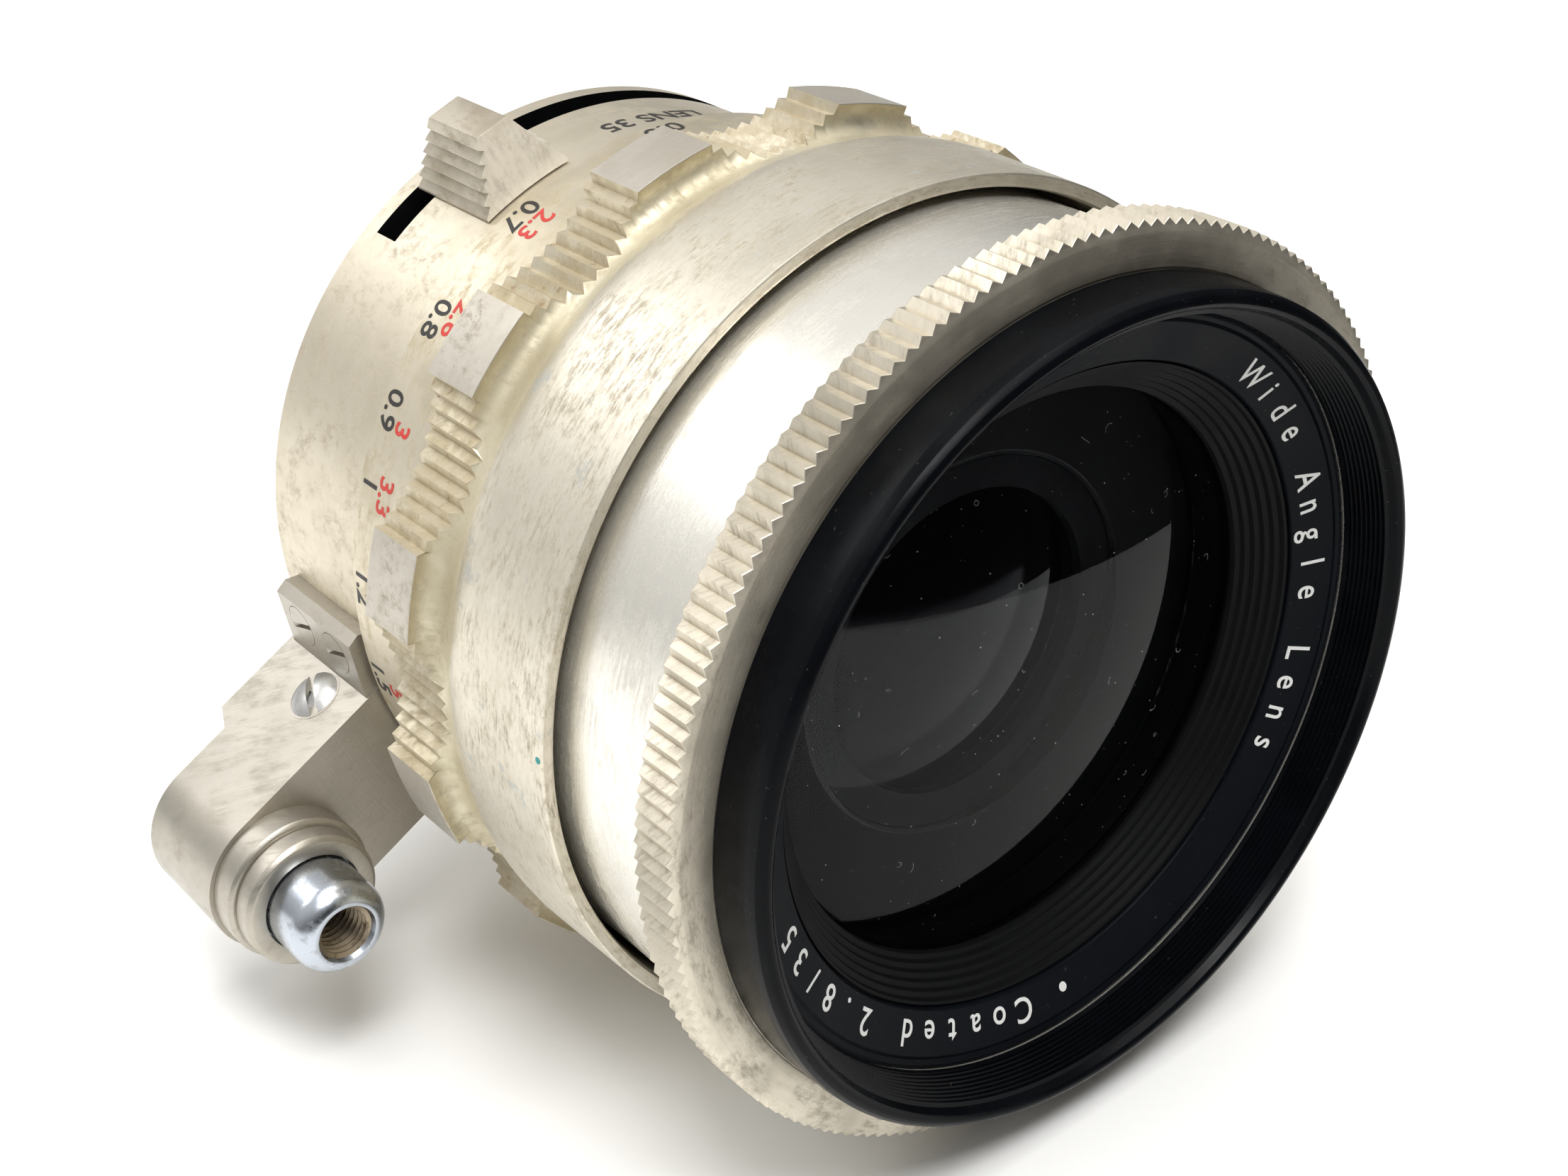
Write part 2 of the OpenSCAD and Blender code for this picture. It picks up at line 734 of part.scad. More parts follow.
module aperture_ring() {
    front = aperture_rear + aperture_len;
    color(SILVER) lens_axis() difference() {
        intersection() {
            translate([0, 0, aperture_rear]) linear_extrude(aperture_len) tooth_star();
            rotate_extrude() polygon([
                [nose_r + fit, aperture_rear], [28.45, aperture_rear],
                [aperture_r + 0.2, aperture_rear + 0.35], [aperture_r + 0.2, front - 0.3],
                [28.4, front], [nose_r + fit, front]
            ]);
        }
        rotate_extrude() translate(click_at) circle(r = click_ball_r + 0.12, $fn = 48);
        for (a = pin_angles) at_clock(a) translate([0, 0, pin_height]) rotate([0, 90, 0]) {
            translate([0, 0, 24]) cylinder(r = 0.5, h = 3.3, $fn = 32);
        }
    }
}

module aperture_sleeve() {
    color(BLACK) lens_axis() difference() {
        ring(23.2, nose_bore - slip, 33.9, 49.9);
        for (a = pin_angles) at_clock(a) translate([22, 0, pin_height]) rotate([0, 90, 0]) {
            cylinder(r = 0.5, h = 4, $fn = 32);
        }
        at_clock(drive_pin_angle) translate([22, 0, drive_pin_z]) rotate([0, 90, 0]) {
            cylinder(r = 0.35, h = 4, $fn = 32);
        }
    }
}

module aperture_pins() {
    color(STEEL) lens_axis() for (a = pin_angles) {
        at_clock(a) translate([23.3, 0, pin_height]) rotate([0, 90, 0]) {
            cylinder(r = 0.5 - sliver, h = 3.9, $fn = 32);
        }
    }
}

module drive_pin() {
    color(STEEL) lens_axis() at_clock(drive_pin_angle) {
        translate([19.05, 0, drive_pin_z]) rotate([0, 90, 0]) {
            cylinder(r = 0.35 - sliver, h = 4.65, $fn = 32);
        }
    }
}

// Where a blade's crank pin lies in the drive ring's own frame as the ring turns:
// t runs from 0 at full aperture to 1 at the smallest stop.
function cam_x(t) = blade_pivot_r - crank * sin(t * blade_turn);
function cam_y(t) = crank * cos(t * blade_turn);
function cam_r(t) = norm([cam_x(t), cam_y(t)]);
function cam_a(t) = atan2(cam_y(t), cam_x(t)) + t * aperture_turn;
function cam_side(t, offset) =
    [(cam_r(t) + offset) * cos(cam_a(t)), (cam_r(t) + offset) * sin(cam_a(t))];

// The cam slot that one crank pin follows.
module cam_slot() {
    w = blade_pin_r + fit;
    steps = 24;
    polygon(concat(
        [for (i = [0:steps]) cam_side(i / steps, w)],
        [for (i = [steps:-1:0]) cam_side(i / steps, -w)]
    ));
    for (t = [0, 1]) translate(cam_side(t, 0)) circle(r = w, $fn = 32);
}

module iris_drive_ring() {
    color(BLACK) lens_axis() difference() {
        ring(11.5, housing_bore - slip, drive_rear, drive_front);
        for (i = [0:blade_count - 1]) at_clock(i * 360 / blade_count) {
            translate([0, 0, drive_rear - 1]) linear_extrude(4) cam_slot();
        }
        at_clock(drive_pin_angle) translate([19, 0, drive_pin_z]) rotate([0, 90, 0]) {
            cylinder(r = 0.35, h = 4, $fn = 32);
        }
    }
}

// One blade: a sickle with a tab that holds its pivot pin and its crank pin.
module iris_blade(index) {
    z = blade_first + index * blade_gap;
    color(STEEL) lens_axis() at_clock(index * 360 / blade_count) {
        translate([0, 0, z]) linear_extrude(blade_t) union() {
            difference() {
                circle(r = blade_out_r, $fn = 180);
                circle(r = blade_in_r, $fn = 180);
                rotate(-5) translate([-20, -40]) square(40);
                rotate(81) translate([-20, 0]) square(40);
            }
            translate([blade_out_r - 1, -0.7]) square([blade_pivot_r - blade_out_r + 1, 2]);
            translate([blade_pivot_r, 0]) circle(r = 0.75, $fn = 32);
            translate([blade_pivot_r, crank]) circle(r = 0.6, $fn = 32);
        }
        translate([blade_pivot_r, 0, housing_rear + 0.2]) {
            cylinder(r = blade_pin_r, h = z - housing_rear - 0.1, $fn = 32);
        }
        translate([blade_pivot_r, crank, z]) {
            cylinder(r = blade_pin_r, h = drive_front - 0.1 - z, $fn = 32);
        }
    }
}

module iris_blade_1() { iris_blade(0); }
module iris_blade_2() { iris_blade(1); }
module iris_blade_3() { iris_blade(2); }
module iris_blade_4() { iris_blade(3); }
module iris_blade_5() { iris_blade(4); }
module iris_blade_6() { iris_blade(5); }

module click_ball() {
    color(STEEL) lens_axis() at_clock(click_angle) {
        translate([click_at[0], 0, click_at[1]]) sphere(r = click_ball_r, $fn = 32);
    }
}

module click_spring() {
    color(STEEL) lens_axis() at_clock(click_angle) {
        translate([click_at[0], 0, 44.45]) coil(0.35, 0.1, 1.75, 4, 12, 6);
    }
}

rear_barrel();
bayonet_ring();
bayonet_screws();
guide_keys();
focus_retainer();
arm_bracket();
arm_foot_screws();
arm_pivot_screw();
button_collar();
button_cap();
plunger_spring();
release_plunger();
trip_rocker();
cocking_lever();
lever_carrier();
lever_screws();
focus_ring();
focus_nut();
nut_screws();
front_barrel();
iris_housing();
housing_screws();
front_cell();
front_retainer();
name_ring();
filter_ring();
inner_retainer();
rear_cell();
doublet_retainer();
rear_spacer();
rear_retainer();
click_ball();
click_spring();
front_element();
second_element();
third_element();
fourth_element();
fifth_element();
sixth_element();
aperture_ring();
aperture_sleeve();
aperture_pins();
iris_drive_ring();
drive_pin();
iris_blade_1();
iris_blade_2();
iris_blade_3();
iris_blade_4();
iris_blade_5();
iris_blade_6();
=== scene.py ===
"""Looks for the prime lens: finer meshes and materials around the CAD frame."""
import math
import random

import bmesh
import bpy
from mathutils import Matrix, Vector


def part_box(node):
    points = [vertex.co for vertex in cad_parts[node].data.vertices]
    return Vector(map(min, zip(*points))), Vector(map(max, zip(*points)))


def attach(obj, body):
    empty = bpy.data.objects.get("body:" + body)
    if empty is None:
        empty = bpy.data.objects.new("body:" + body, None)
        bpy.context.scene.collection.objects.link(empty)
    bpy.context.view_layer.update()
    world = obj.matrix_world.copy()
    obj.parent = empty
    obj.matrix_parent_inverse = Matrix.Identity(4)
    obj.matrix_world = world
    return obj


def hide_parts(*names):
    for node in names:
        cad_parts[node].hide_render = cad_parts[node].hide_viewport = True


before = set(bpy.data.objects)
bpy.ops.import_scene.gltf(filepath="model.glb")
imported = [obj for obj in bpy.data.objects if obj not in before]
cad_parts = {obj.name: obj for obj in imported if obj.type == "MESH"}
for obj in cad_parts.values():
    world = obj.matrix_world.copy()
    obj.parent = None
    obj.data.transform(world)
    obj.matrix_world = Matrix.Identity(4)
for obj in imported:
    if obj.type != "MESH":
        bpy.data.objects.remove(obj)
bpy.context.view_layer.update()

MM = 0.001
SEG = 288  # steps round a full turn of the large rings
SMALL_SEG = 96  # and of the button's small ones
SHARP = 30.0  # degrees; edges sharper than this stay crisp
FORWARD = Vector((0, -1, 0))
BEHIND = Vector((0, 0.03, 0))  # a point on the axis behind the lens, where long cutters start
rng = random.Random(11)
FLOOR_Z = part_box("aperture_ring")[0].z


# ---- geometry helpers ------------------------------------------------------

def at(clock, r, h):
    """Point at a clock angle (0 up, anticlockwise from the front), radius and height in mm."""
    a = math.radians(clock)
    return Vector((-math.sin(a) * r, -h, math.cos(a) * r)) * MM


def finish_mesh(me, sharp=SHARP):
    """Welds doubled points, turns every face outward and shades smooth between sharp edges."""
    bm = bmesh.new()
    bm.from_mesh(me)
    bmesh.ops.remove_doubles(bm, verts=bm.verts, dist=2e-7)
    bmesh.ops.dissolve_degenerate(bm, edges=bm.edges, dist=1e-7)
    bmesh.ops.recalc_face_normals(bm, faces=bm.faces)
    bm.to_mesh(me)
    bm.free()
    for p in me.polygons:
        p.use_smooth = True
    me.set_sharp_from_angle(angle=math.radians(sharp))


def add(name, verts, faces, body, mats, slots=None, sharp=SHARP):
    """A new piece that rides on a body. slots gives each face's place in the list of materials."""
    me = bpy.data.meshes.new(name)
    me.from_pydata([tuple(v) for v in verts], [], faces)
    for m in (mats if isinstance(mats, (list, tuple)) else [mats]):
        me.materials.append(m)
    if slots:
        for p, s in zip(me.polygons, slots):
            p.material_index = s
    finish_mesh(me, sharp)
    ob = bpy.data.objects.new(name, me)
    bpy.context.scene.collection.objects.link(ob)
    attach(ob, body)
    return ob


def even_shading(ob):
    """Keeps flat faces flat beside their small rounded edges."""
    mod = ob.modifiers.new("normals", "WEIGHTED_NORMAL")
    mod.keep_sharp, mod.weight = True, 80


def fillet(points, radius, closed=True):
    """Rounds each corner of an outline of (r, h) points."""
    out, n = [], len(points)
    for i, p in enumerate(points):
        if not closed and i in (0, n - 1):
            out.append(p)
            continue
        a, b = points[i - 1], points[(i + 1) % n]
        da = math.hypot(a[0] - p[0], a[1] - p[1])
        db = math.hypot(b[0] - p[0], b[1] - p[1])
        if min(da, db) < 0.02 or radius <= 0:
            out.append(p)
            continue
        ca, cb = min(radius, da * 0.45), min(radius, db * 0.45)
        pa = (p[0] + (a[0] - p[0]) * ca / da, p[1] + (a[1] - p[1]) * ca / da)
        pb = (p[0] + (b[0] - p[0]) * cb / db, p[1] + (b[1] - p[1]) * cb / db)
        mid = tuple(0.25 * pa[k] + 0.5 * p[k] + 0.25 * pb[k] for k in (0, 1))
        out += [pa, mid, pb]
    return out


def columns(name, cols, body, mats, rows_slots=None, sharp=SHARP):
    """A ring from (clock angle, [(r, h), ...]) columns of equal length; each column is a closed
    outline. rows_slots gives the material's place from the column's and the point's numbers."""
    rows = len(cols[0][1])
    verts = [at(a, r, h) for a, path in cols for r, h in path]
    faces, slots = [], []
    n = len(cols)
    for i in range(n):
        j = (i + 1) % n
        for k in range(rows):
            m = (k + 1) % rows
            faces.append((i * rows + k, j * rows + k, j * rows + m, i * rows + m))
            if rows_slots:
                slots.append(rows_slots(i, k))
    return add(name, verts, faces, body, mats, slots, sharp)


def shift(ob, centre):
    """Moves a turned piece's axis to (x, z) in mm."""
    for v in ob.data.vertices:
        v.co += Vector((centre[0], 0, centre[1])) * MM


def lathe(name, points, body, mat, radius=0.06, seg=SEG, sharp=SHARP, centre=None):
    """A turned ring or disc, its corners rounded by radius, its axis moved to centre."""
    path = fillet(points, radius)
    ob = columns(name, [(360 * i / seg, path) for i in range(seg)], body, mat, sharp=sharp)
    if centre:
        shift(ob, centre)
    even_shading(ob)
    return ob


def sector(a0, a1, r0, r1, h0, h1, steps=48):
    """Verts and faces of a block between two clock angles."""
    box_path = [(r0, h0), (r1, h0), (r1, h1), (r0, h1)]
    cols = [(a0 + (a1 - a0) * i / steps, box_path) for i in range(steps + 1)]
    verts = [at(a, r, h) for a, path in cols for r, h in path]
    faces = []
    for i in range(steps):
        for k in range(4):
            m = (k + 1) % 4
            faces.append((i * 4 + k, i * 4 + 4 + k, i * 4 + 4 + m, i * 4 + m))
    faces += [(0, 1, 2, 3), tuple(steps * 4 + k for k in (3, 2, 1, 0))]
    return verts, faces


def local(clock):
    """The point function of a clock angle's own frame: u outward, v anticlockwise, h forward."""
    out, side = at(clock, 1, 0), at(clock + 90, 1, 0)

    def point(u, v, h):
        return out * u + side * v + Vector((0, -h * MM, 0))
    return point


def block(clock, u0, u1, v0, v1, h0, h1):
    """Verts and faces of a box in the frame of a clock angle."""
    point = local(clock)
    verts = [point(u, v, h) for h in (h0, h1) for u, v in ((u0, v0), (u1, v0), (u1, v1), (u0, v1))]
    faces = [(0, 3, 2, 1), (4, 5, 6, 7), (0, 1, 5, 4), (1, 2, 6, 5), (2, 3, 7, 6), (3, 0, 4, 7)]
    return verts, faces


def walls(n):
    """The side faces between two outlines of n points, one stored after the other."""
    return [(i, (i + 1) % n, n + (i + 1) % n, n + i) for i in range(n)]


def drum(base, direction, length, r0, r1=None, seg=48):
    """A cylinder or cone from a base point (metres) along a direction, radii and length in mm."""
    r1 = r0 if r1 is None else r1
    d = direction.normalized()
    side = d.orthogonal().normalized()
    up = d.cross(side)
    verts = []
    for r, s in ((r0, 0), (r1, length)):
        for i in range(seg):
            a = 2 * math.pi * i / seg
            verts.append(base + d * s * MM + (side * math.cos(a) + up * math.sin(a)) * r * MM)
    faces = walls(seg) + [tuple(reversed(range(seg))), tuple(range(seg, 2 * seg))]
    return verts, faces


def cut(ob, cutters, union=False, mat=None):
    """Cuts away (or joins on) a list of (verts, faces) and keeps the result as plain mesh.
    With mat, the faces that the cutters leave get that material."""
    ob.modifiers.clear()
    for verts, faces in cutters:
        me = bpy.data.meshes.new("cutter")
        me.from_pydata([tuple(v) for v in verts], [], faces)
        bm = bmesh.new()
        bm.from_mesh(me)
        bmesh.ops.recalc_face_normals(bm, faces=bm.faces)
        bm.to_mesh(me)
        bm.free()
        if mat:
            me.materials.append(mat)
        tool = bpy.data.objects.new("cutter", me)
        bpy.context.scene.collection.objects.link(tool)
        mod = ob.modifiers.new("cut", "BOOLEAN")
        mod.operation = "UNION" if union else "DIFFERENCE"
        mod.solver = "EXACT"
        mod.material_mode = "TRANSFER" if mat else "INDEX"
        mod.object = tool
        dg = bpy.context.evaluated_depsgraph_get()
        new = bpy.data.meshes.new_from_object(ob.evaluated_get(dg))
        ob.modifiers.clear()
        old = ob.data
        ob.data = new
        bpy.data.meshes.remove(old)
        bpy.data.objects.remove(tool)
        bpy.data.meshes.remove(me)
    for p in ob.data.polygons:
        p.use_smooth = True
    ob.data.set_sharp_from_angle(angle=math.radians(SHARP))
    even_shading(ob)


def round_edges(ob, width, harden=True):
    """Bevels the piece's sharp edges, by a width in mm."""
    mod = ob.modifiers.new("edges", "BEVEL")
    mod.width, mod.segments = width * MM, 2
    mod.limit_method, mod.angle_limit = "ANGLE", math.radians(35)
    mod.harden_normals = harden


# ---- material helpers ------------------------------------------------------

class Mat:
    """Builds one procedural material. Positions are in the part's own frame, in mm."""

    def __init__(self, name):
        self.m = bpy.data.materials.new(name)
        self.m.use_nodes = True
        self.t = self.m.node_tree
        self.bsdf = self.t.nodes["Principled BSDF"]
        pos = self.t.nodes.new("ShaderNodeTexCoord").outputs["Object"]
        sep = self.t.nodes.new("ShaderNodeSeparateXYZ")
        self.t.links.new(pos, sep.inputs[0])
        self.x = self.math("MULTIPLY", sep.outputs[0], 1000.0)
        self.h = self.math("MULTIPLY", sep.outputs[1], -1000.0)
        self.z = self.math("MULTIPLY", sep.outputs[2], 1000.0)
        xx = self.math("MULTIPLY", self.x, self.x)
        zz = self.math("MULTIPLY", self.z, self.z)
        self.r = self.math("SQRT", self.math("ADD", xx, zz))
        self.ux = self.math("DIVIDE", self.x, self.r)
        self.uz = self.math("DIVIDE", self.z, self.r)

    def math(self, op, a, b=None, c=None):
        n = self.t.nodes.new("ShaderNodeMath")
        n.operation = op
        for k, v in enumerate((a, b, c)):
            if v is None:
                continue
            if isinstance(v, (int, float)):
                n.inputs[k].default_value = v
            else:
                self.t.links.new(v, n.inputs[k])
        return n.outputs[0]

    def vec(self, x, y, z):
        n = self.t.nodes.new("ShaderNodeCombineXYZ")
        for k, v in enumerate((x, y, z)):
            if isinstance(v, (int, float)):
                n.inputs[k].default_value = v
            else:
                self.t.links.new(v, n.inputs[k])
        return n.outputs[0]

    def turned(self, around, across, seed=0.0):
        """A noise space stretched round the axis: features are 'across' per mm in height and
        radius, and 'around' per radian round the axis."""
        hr = self.math("ADD", self.h, self.r)
        return self.vec(
            self.math("MULTIPLY", self.ux, around),
            self.math("MULTIPLY_ADD", hr, across, seed),
            self.math("MULTIPLY", self.uz, around),
        )

    def plain(self, per_mm, seed=0.0, stretch=(1, 1, 1)):
        """A noise space with per_mm features a mm, which can be stretched along x, h and z."""
        return self.vec(
            self.math("MULTIPLY_ADD", self.x, per_mm * stretch[0], seed),
            self.math("MULTIPLY_ADD", self.h, per_mm * stretch[1], seed),
            self.math("MULTIPLY_ADD", self.z, per_mm * stretch[2], seed),
        )

    def noise(self, vec, detail=2.0, rough=0.55):
        n = self.t.nodes.new("ShaderNodeTexNoise")
        n.inputs["Scale"].default_value = 1.0
        n.inputs["Detail"].default_value = detail
        n.inputs["Roughness"].default_value = rough
        self.t.links.new(vec, n.inputs["Vector"])
        return n.outputs["Fac"]

    def step(self, value, lo, hi, out_lo=0.0, out_hi=1.0):
        """A smooth step from out_lo at lo to out_hi at hi."""
        n = self.t.nodes.new("ShaderNodeMapRange")
        n.interpolation_type = "SMOOTHSTEP"
        self.t.links.new(value, n.inputs["Value"])
        for key, v in (("From Min", lo), ("From Max", hi), ("To Min", out_lo), ("To Max", out_hi)):
            n.inputs[key].default_value = v
        return n.outputs["Result"]

    def band(self, value, lo, hi, soft):
        """1 between lo and hi, falling to 0 over soft on both sides."""
        a = self.step(value, lo - soft, lo + soft)
        b = self.step(value, hi - soft, hi + soft, 1.0, 0.0)
        return self.math("MULTIPLY", a, b)

    def mix(self, fac, a, b):
        """Colour a where fac is 0 and b where it is 1."""
        n = self.t.nodes.new("ShaderNodeMix")
        n.data_type = "RGBA"
        self.t.links.new(fac, n.inputs[0])
        for k, v in ((6, a), (7, b)):
            if isinstance(v, tuple):
                n.inputs[k].default_value = (*v, 1.0)
            else:
                self.t.links.new(v, n.inputs[k])
        return n.outputs[2]

    def bump(self, height, distance, strength):
        """A normal from a height that is distance mm deep."""
        n = self.t.nodes.new("ShaderNodeBump")
        n.inputs["Strength"].default_value = strength
        n.inputs["Distance"].default_value = distance * MM
        self.t.links.new(height, n.inputs["Height"])
        return n.outputs["Normal"]

    def set(self, **values):
        names = {"color": "Base Color", "metal": "Metallic", "rough": "Roughness", "normal": "Normal",
                 "spec": "Specular IOR Level", "ior": "IOR", "trans": "Transmission Weight"}
        for k, v in values.items():
            s = self.bsdf.inputs[names[k]]
            if isinstance(v, (int, float)):
                s.default_value = v
            else:
                self.t.links.new(v, s)


def aluminium(name, base, dull, rough, streaks, stain, stain_colour=(0.33, 0.28, 0.20), blotch=0.35,
              brush=9.0, brush_mm=0.010, metal=0.85, extra=None):
    """Old bright aluminium: turned brushing, dull patches and streaky stains. extra can add to
    the colour, roughness and height before they are used."""
    k = Mat(name)
    fine = k.noise(k.turned(brush, 9.0, 3.1), 3.0, 0.7)
    patch = k.step(k.noise(k.plain(0.16, 5.0), 3.0, 0.6), 0.42, 0.66)
    strokes = k.step(k.noise(k.turned(streaks[0], streaks[1], 1.7), 6.0, 0.78), 0.42, 0.66)
    cloud = k.step(k.noise(k.plain(0.34, 9.0), 5.0, 0.7), 0.40, 0.62)
    mottle = k.math("MULTIPLY", strokes, k.math("MULTIPLY_ADD", cloud, 0.8, 0.2))
    colour = k.mix(k.math("MULTIPLY", patch, blotch), base, dull)
    colour = k.mix(k.math("MULTIPLY", mottle, stain), colour, stain_colour)
    roughness = k.math("MULTIPLY_ADD", fine, 0.16, rough - 0.08)
    roughness = k.math("MULTIPLY_ADD", mottle, 0.22, roughness)
    height = k.math("MULTIPLY_ADD", mottle, -0.6, fine)
    if extra:
        colour, roughness, height = extra(k, colour, roughness, height)
    k.set(color=colour, metal=metal, rough=roughness, normal=k.bump(height, brush_mm, 0.8))
    return k.m


CREAM = (0.69, 0.63, 0.51)
CREAM_DULL = (0.54, 0.48, 0.36)
K_TIP, K_ROOT, K_N = 29.08, 28.72, 180  # the knurl: radii of its teeth, and their number
K_REAR, K_FRONT = 47.0, 50.3  # and the ring's two ends


def bell_extra(k, colour, roughness, height):
    """Bluish worn patches, and brown flecks drawn out round the axis."""
    blue = k.step(k.noise(k.plain(0.33, 21.0), 4.0, 0.7), 0.60, 0.70)
    colour = k.mix(k.math("MULTIPLY", blue, 0.55), colour, (0.44, 0.47, 0.47))
    fleck = k.step(k.noise(k.turned(60.0, 7.5, 8.0), 4.0, 0.75), 0.52, 0.66)
    spread = k.step(k.noise(k.plain(0.2, 3.0), 3.0, 0.6), 0.40, 0.60)
    fleck = k.math("MULTIPLY", fleck, spread)
    colour = k.mix(k.math("MULTIPLY", fleck, 0.55), colour, (0.46, 0.38, 0.25))
    return colour, k.math("MULTIPLY_ADD", blue, 0.12, roughness), height


def teeth_extra(k, colour, roughness, height):
    """Patches of grime, and spots of rust, over the grip's teeth."""
    grime = k.step(k.noise(k.plain(0.7, 4.0), 3.0, 0.6), 0.35, 0.6)
    colour = k.mix(k.math("MULTIPLY", grime, 0.45), colour, (0.46, 0.38, 0.24))
    rust = k.step(k.noise(k.plain(1.3, 14.0), 3.0, 0.6), 0.62, 0.72)
    colour = k.mix(k.math("MULTIPLY", rust, 0.5), colour, (0.30, 0.18, 0.08))
    return colour, k.math("MULTIPLY_ADD", grime, 0.15, roughness), height


def knurl_extra(k, colour, roughness, height):
    """Patchy grime in the knurl's roots, between the ring's bevelled ends."""
    deep = k.step(k.r, K_ROOT - 0.10, K_ROOT + 0.14, 1.0, 0.0)
    patch = k.step(k.noise(k.plain(0.25, 31.0), 3.0, 0.6), 0.34, 0.62)
    deep = k.math("MULTIPLY", deep, k.math("MULTIPLY_ADD", patch, 0.6, 0.3))
    side = k.band(k.h, K_REAR + 0.5, K_FRONT - 0.6, 0.3)
    colour = k.mix(k.math("MULTIPLY", k.math("MULTIPLY", deep, side), 0.75), colour, (0.40, 0.32, 0.19))
    return colour, k.math("MULTIPLY_ADD", deep, 0.15, roughness), height


def neck_extra(k, colour, roughness, height):
    """Dirt that has gathered in the round neck."""
    dirt = k.step(k.noise(k.plain(0.4, 2.0), 4.0, 0.65), 0.32, 0.60)
    colour = k.mix(k.math("MULTIPLY", dirt, 0.5), colour, (0.54, 0.48, 0.34))
    return colour, k.math("MULTIPLY_ADD", dirt, 0.18, roughness), height


m_rear = aluminium("rear_aluminium", CREAM, CREAM_DULL, 0.39, (30.0, 0.9), 0.45)
m_skirt = aluminium("skirt_aluminium", CREAM, CREAM_DULL, 0.41, (22.0, 1.4), 0.75, (0.46, 0.38, 0.22), 0.7)
m_lobe = aluminium("lobe_aluminium", (0.57, 0.535, 0.47), (0.43, 0.39, 0.325), 0.46, (40.0, 1.1), 0.75,
                   (0.38, 0.33, 0.26))
m_teeth = aluminium("teeth_aluminium", (0.66, 0.605, 0.48), (0.50, 0.44, 0.31), 0.44, (40.0, 1.0), 0.45,
                    blotch=0.6, extra=teeth_extra)
m_neck = aluminium("neck_aluminium", (0.70, 0.65, 0.51), (0.55, 0.50, 0.36), 0.46, (30.0, 1.2), 0.35,
                   extra=neck_extra)
m_bell = aluminium("bell_aluminium", (0.73, 0.685, 0.585), (0.56, 0.515, 0.415), 0.40, (24.0, 3.0), 0.85,
                   (0.38, 0.33, 0.24), brush_mm=0.014, extra=bell_extra)
m_barrel = aluminium("polished_aluminium", (0.86, 0.835, 0.77), (0.74, 0.705, 0.62), 0.23, (14.0, 3.2), 0.25,
                     brush=7.0, metal=0.8)
m_knurl = aluminium("knurl_aluminium", (0.71, 0.655, 0.545), (0.51, 0.47, 0.385), 0.42, (16.0, 1.6), 0.85,
                    (0.40, 0.36, 0.29), 0.7, extra=knurl_extra)
# the lever's aluminium made near-white and half diffuse: painted light that makes its sides read as brightly
# lit
m_lever_painted_light = aluminium("lever_aluminium_painted_light", (0.99, 0.96, 0.89), (0.84, 0.78, 0.66), 0.50, (60.0, 0.6), 0.4,
                    blotch=0.6, metal=0.35)
# the same aluminium darker, for the lever's ribbed side and top: painted shade
m_lever_painted_shade = aluminium("rib_aluminium_painted_shade", (0.60, 0.55, 0.46), (0.42, 0.37, 0.28), 0.50, (60.0, 0.6), 0.7,
                   blotch=0.8)
m_arm = aluminium("arm_aluminium", (0.46, 0.43, 0.375), (0.38, 0.355, 0.305), 0.36, (60.0, 0.6), 0.25,
                  blotch=0.6)


def black_anodised(name, base, rough, wear, spec):
    """Black finish with faint clouds, and pale flecks where it has worn."""
    k = Mat(name)
    fine = k.noise(k.turned(12.0, 7.0, 6.0), 3.0, 0.7)
    cloud = k.step(k.noise(k.plain(0.22, 12.0), 3.0, 0.6), 0.40, 0.68)
    fleck = k.step(k.noise(k.plain(3.2, 17.0), 2.0, 0.6), 0.70, 0.78)
    colour = k.mix(k.math("MULTIPLY", cloud, 0.5), base, tuple(c * 1.7 for c in base))
    colour = k.mix(k.math("MULTIPLY", fleck, wear), colour, (0.24, 0.23, 0.20))
    roughness = k.math("MULTIPLY_ADD", fine, 0.14, rough - 0.07)
    roughness = k.math("MULTIPLY_ADD", cloud, 0.08, roughness)
    k.set(color=colour, metal=0.0, rough=roughness, spec=spec, normal=k.bump(fine, 0.006, 0.6))
    return k.m


m_black = black_anodised("black_ring", (0.0025, 0.003, 0.004), 0.24, 0.15, 0.07)
m_black_inner = black_anodised("black_inside", (0.003, 0.0033, 0.0036), 0.55, 0.04, 0.12)
m_name = black_anodised("black_name_ring", (0.003, 0.004, 0.006), 0.42, 0.15, 0.07)


def ground_steel(name, base=(0.50, 0.54, 0.60), rough=0.22, grime=(0.20, 0.17, 0.12), amount=0.3):
    """Plain metal with fine grinding marks, and an amount of grime in spots."""
    k = Mat(name)
    fine = k.noise(k.plain(4.0, 3.0, (1, 0.2, 1)), 3.0, 0.7)
    spots = k.step(k.noise(k.plain(1.1, 5.0), 4.0, 0.65), 0.52, 0.70)
    colour = k.mix(k.math("MULTIPLY", spots, amount), base, grime)
    roughness = k.math("MULTIPLY_ADD", spots, 0.2, k.math("MULTIPLY_ADD", fine, 0.14, rough - 0.05))
    k.set(color=colour, metal=1.0, rough=roughness, normal=k.bump(fine, 0.006, 0.7))
    return k.m


m_steel = ground_steel("ground_steel")
m_screw = ground_steel("screw_steel", (0.62, 0.62, 0.61), 0.30, amount=0.12)
m_socket = ground_steel("socket_thread", (0.36, 0.30, 0.22), 0.45, (0.12, 0.08, 0.04), 0.7)
m_plated = ground_steel("plated_bayonet", (0.70, 0.70, 0.71), 0.26, amount=0.1)
m_brass = ground_steel("turned_brass", (0.74, 0.58, 0.30), 0.30, (0.30, 0.20, 0.08), 0.4)
m_blade = ground_steel("blade_steel", (0.10, 0.10, 0.11), 0.34, (0.05, 0.05, 0.05), 0.4)


GLASS_IOR = 1.18  # a stand-in, lower than real glass, so that the faces reflect less


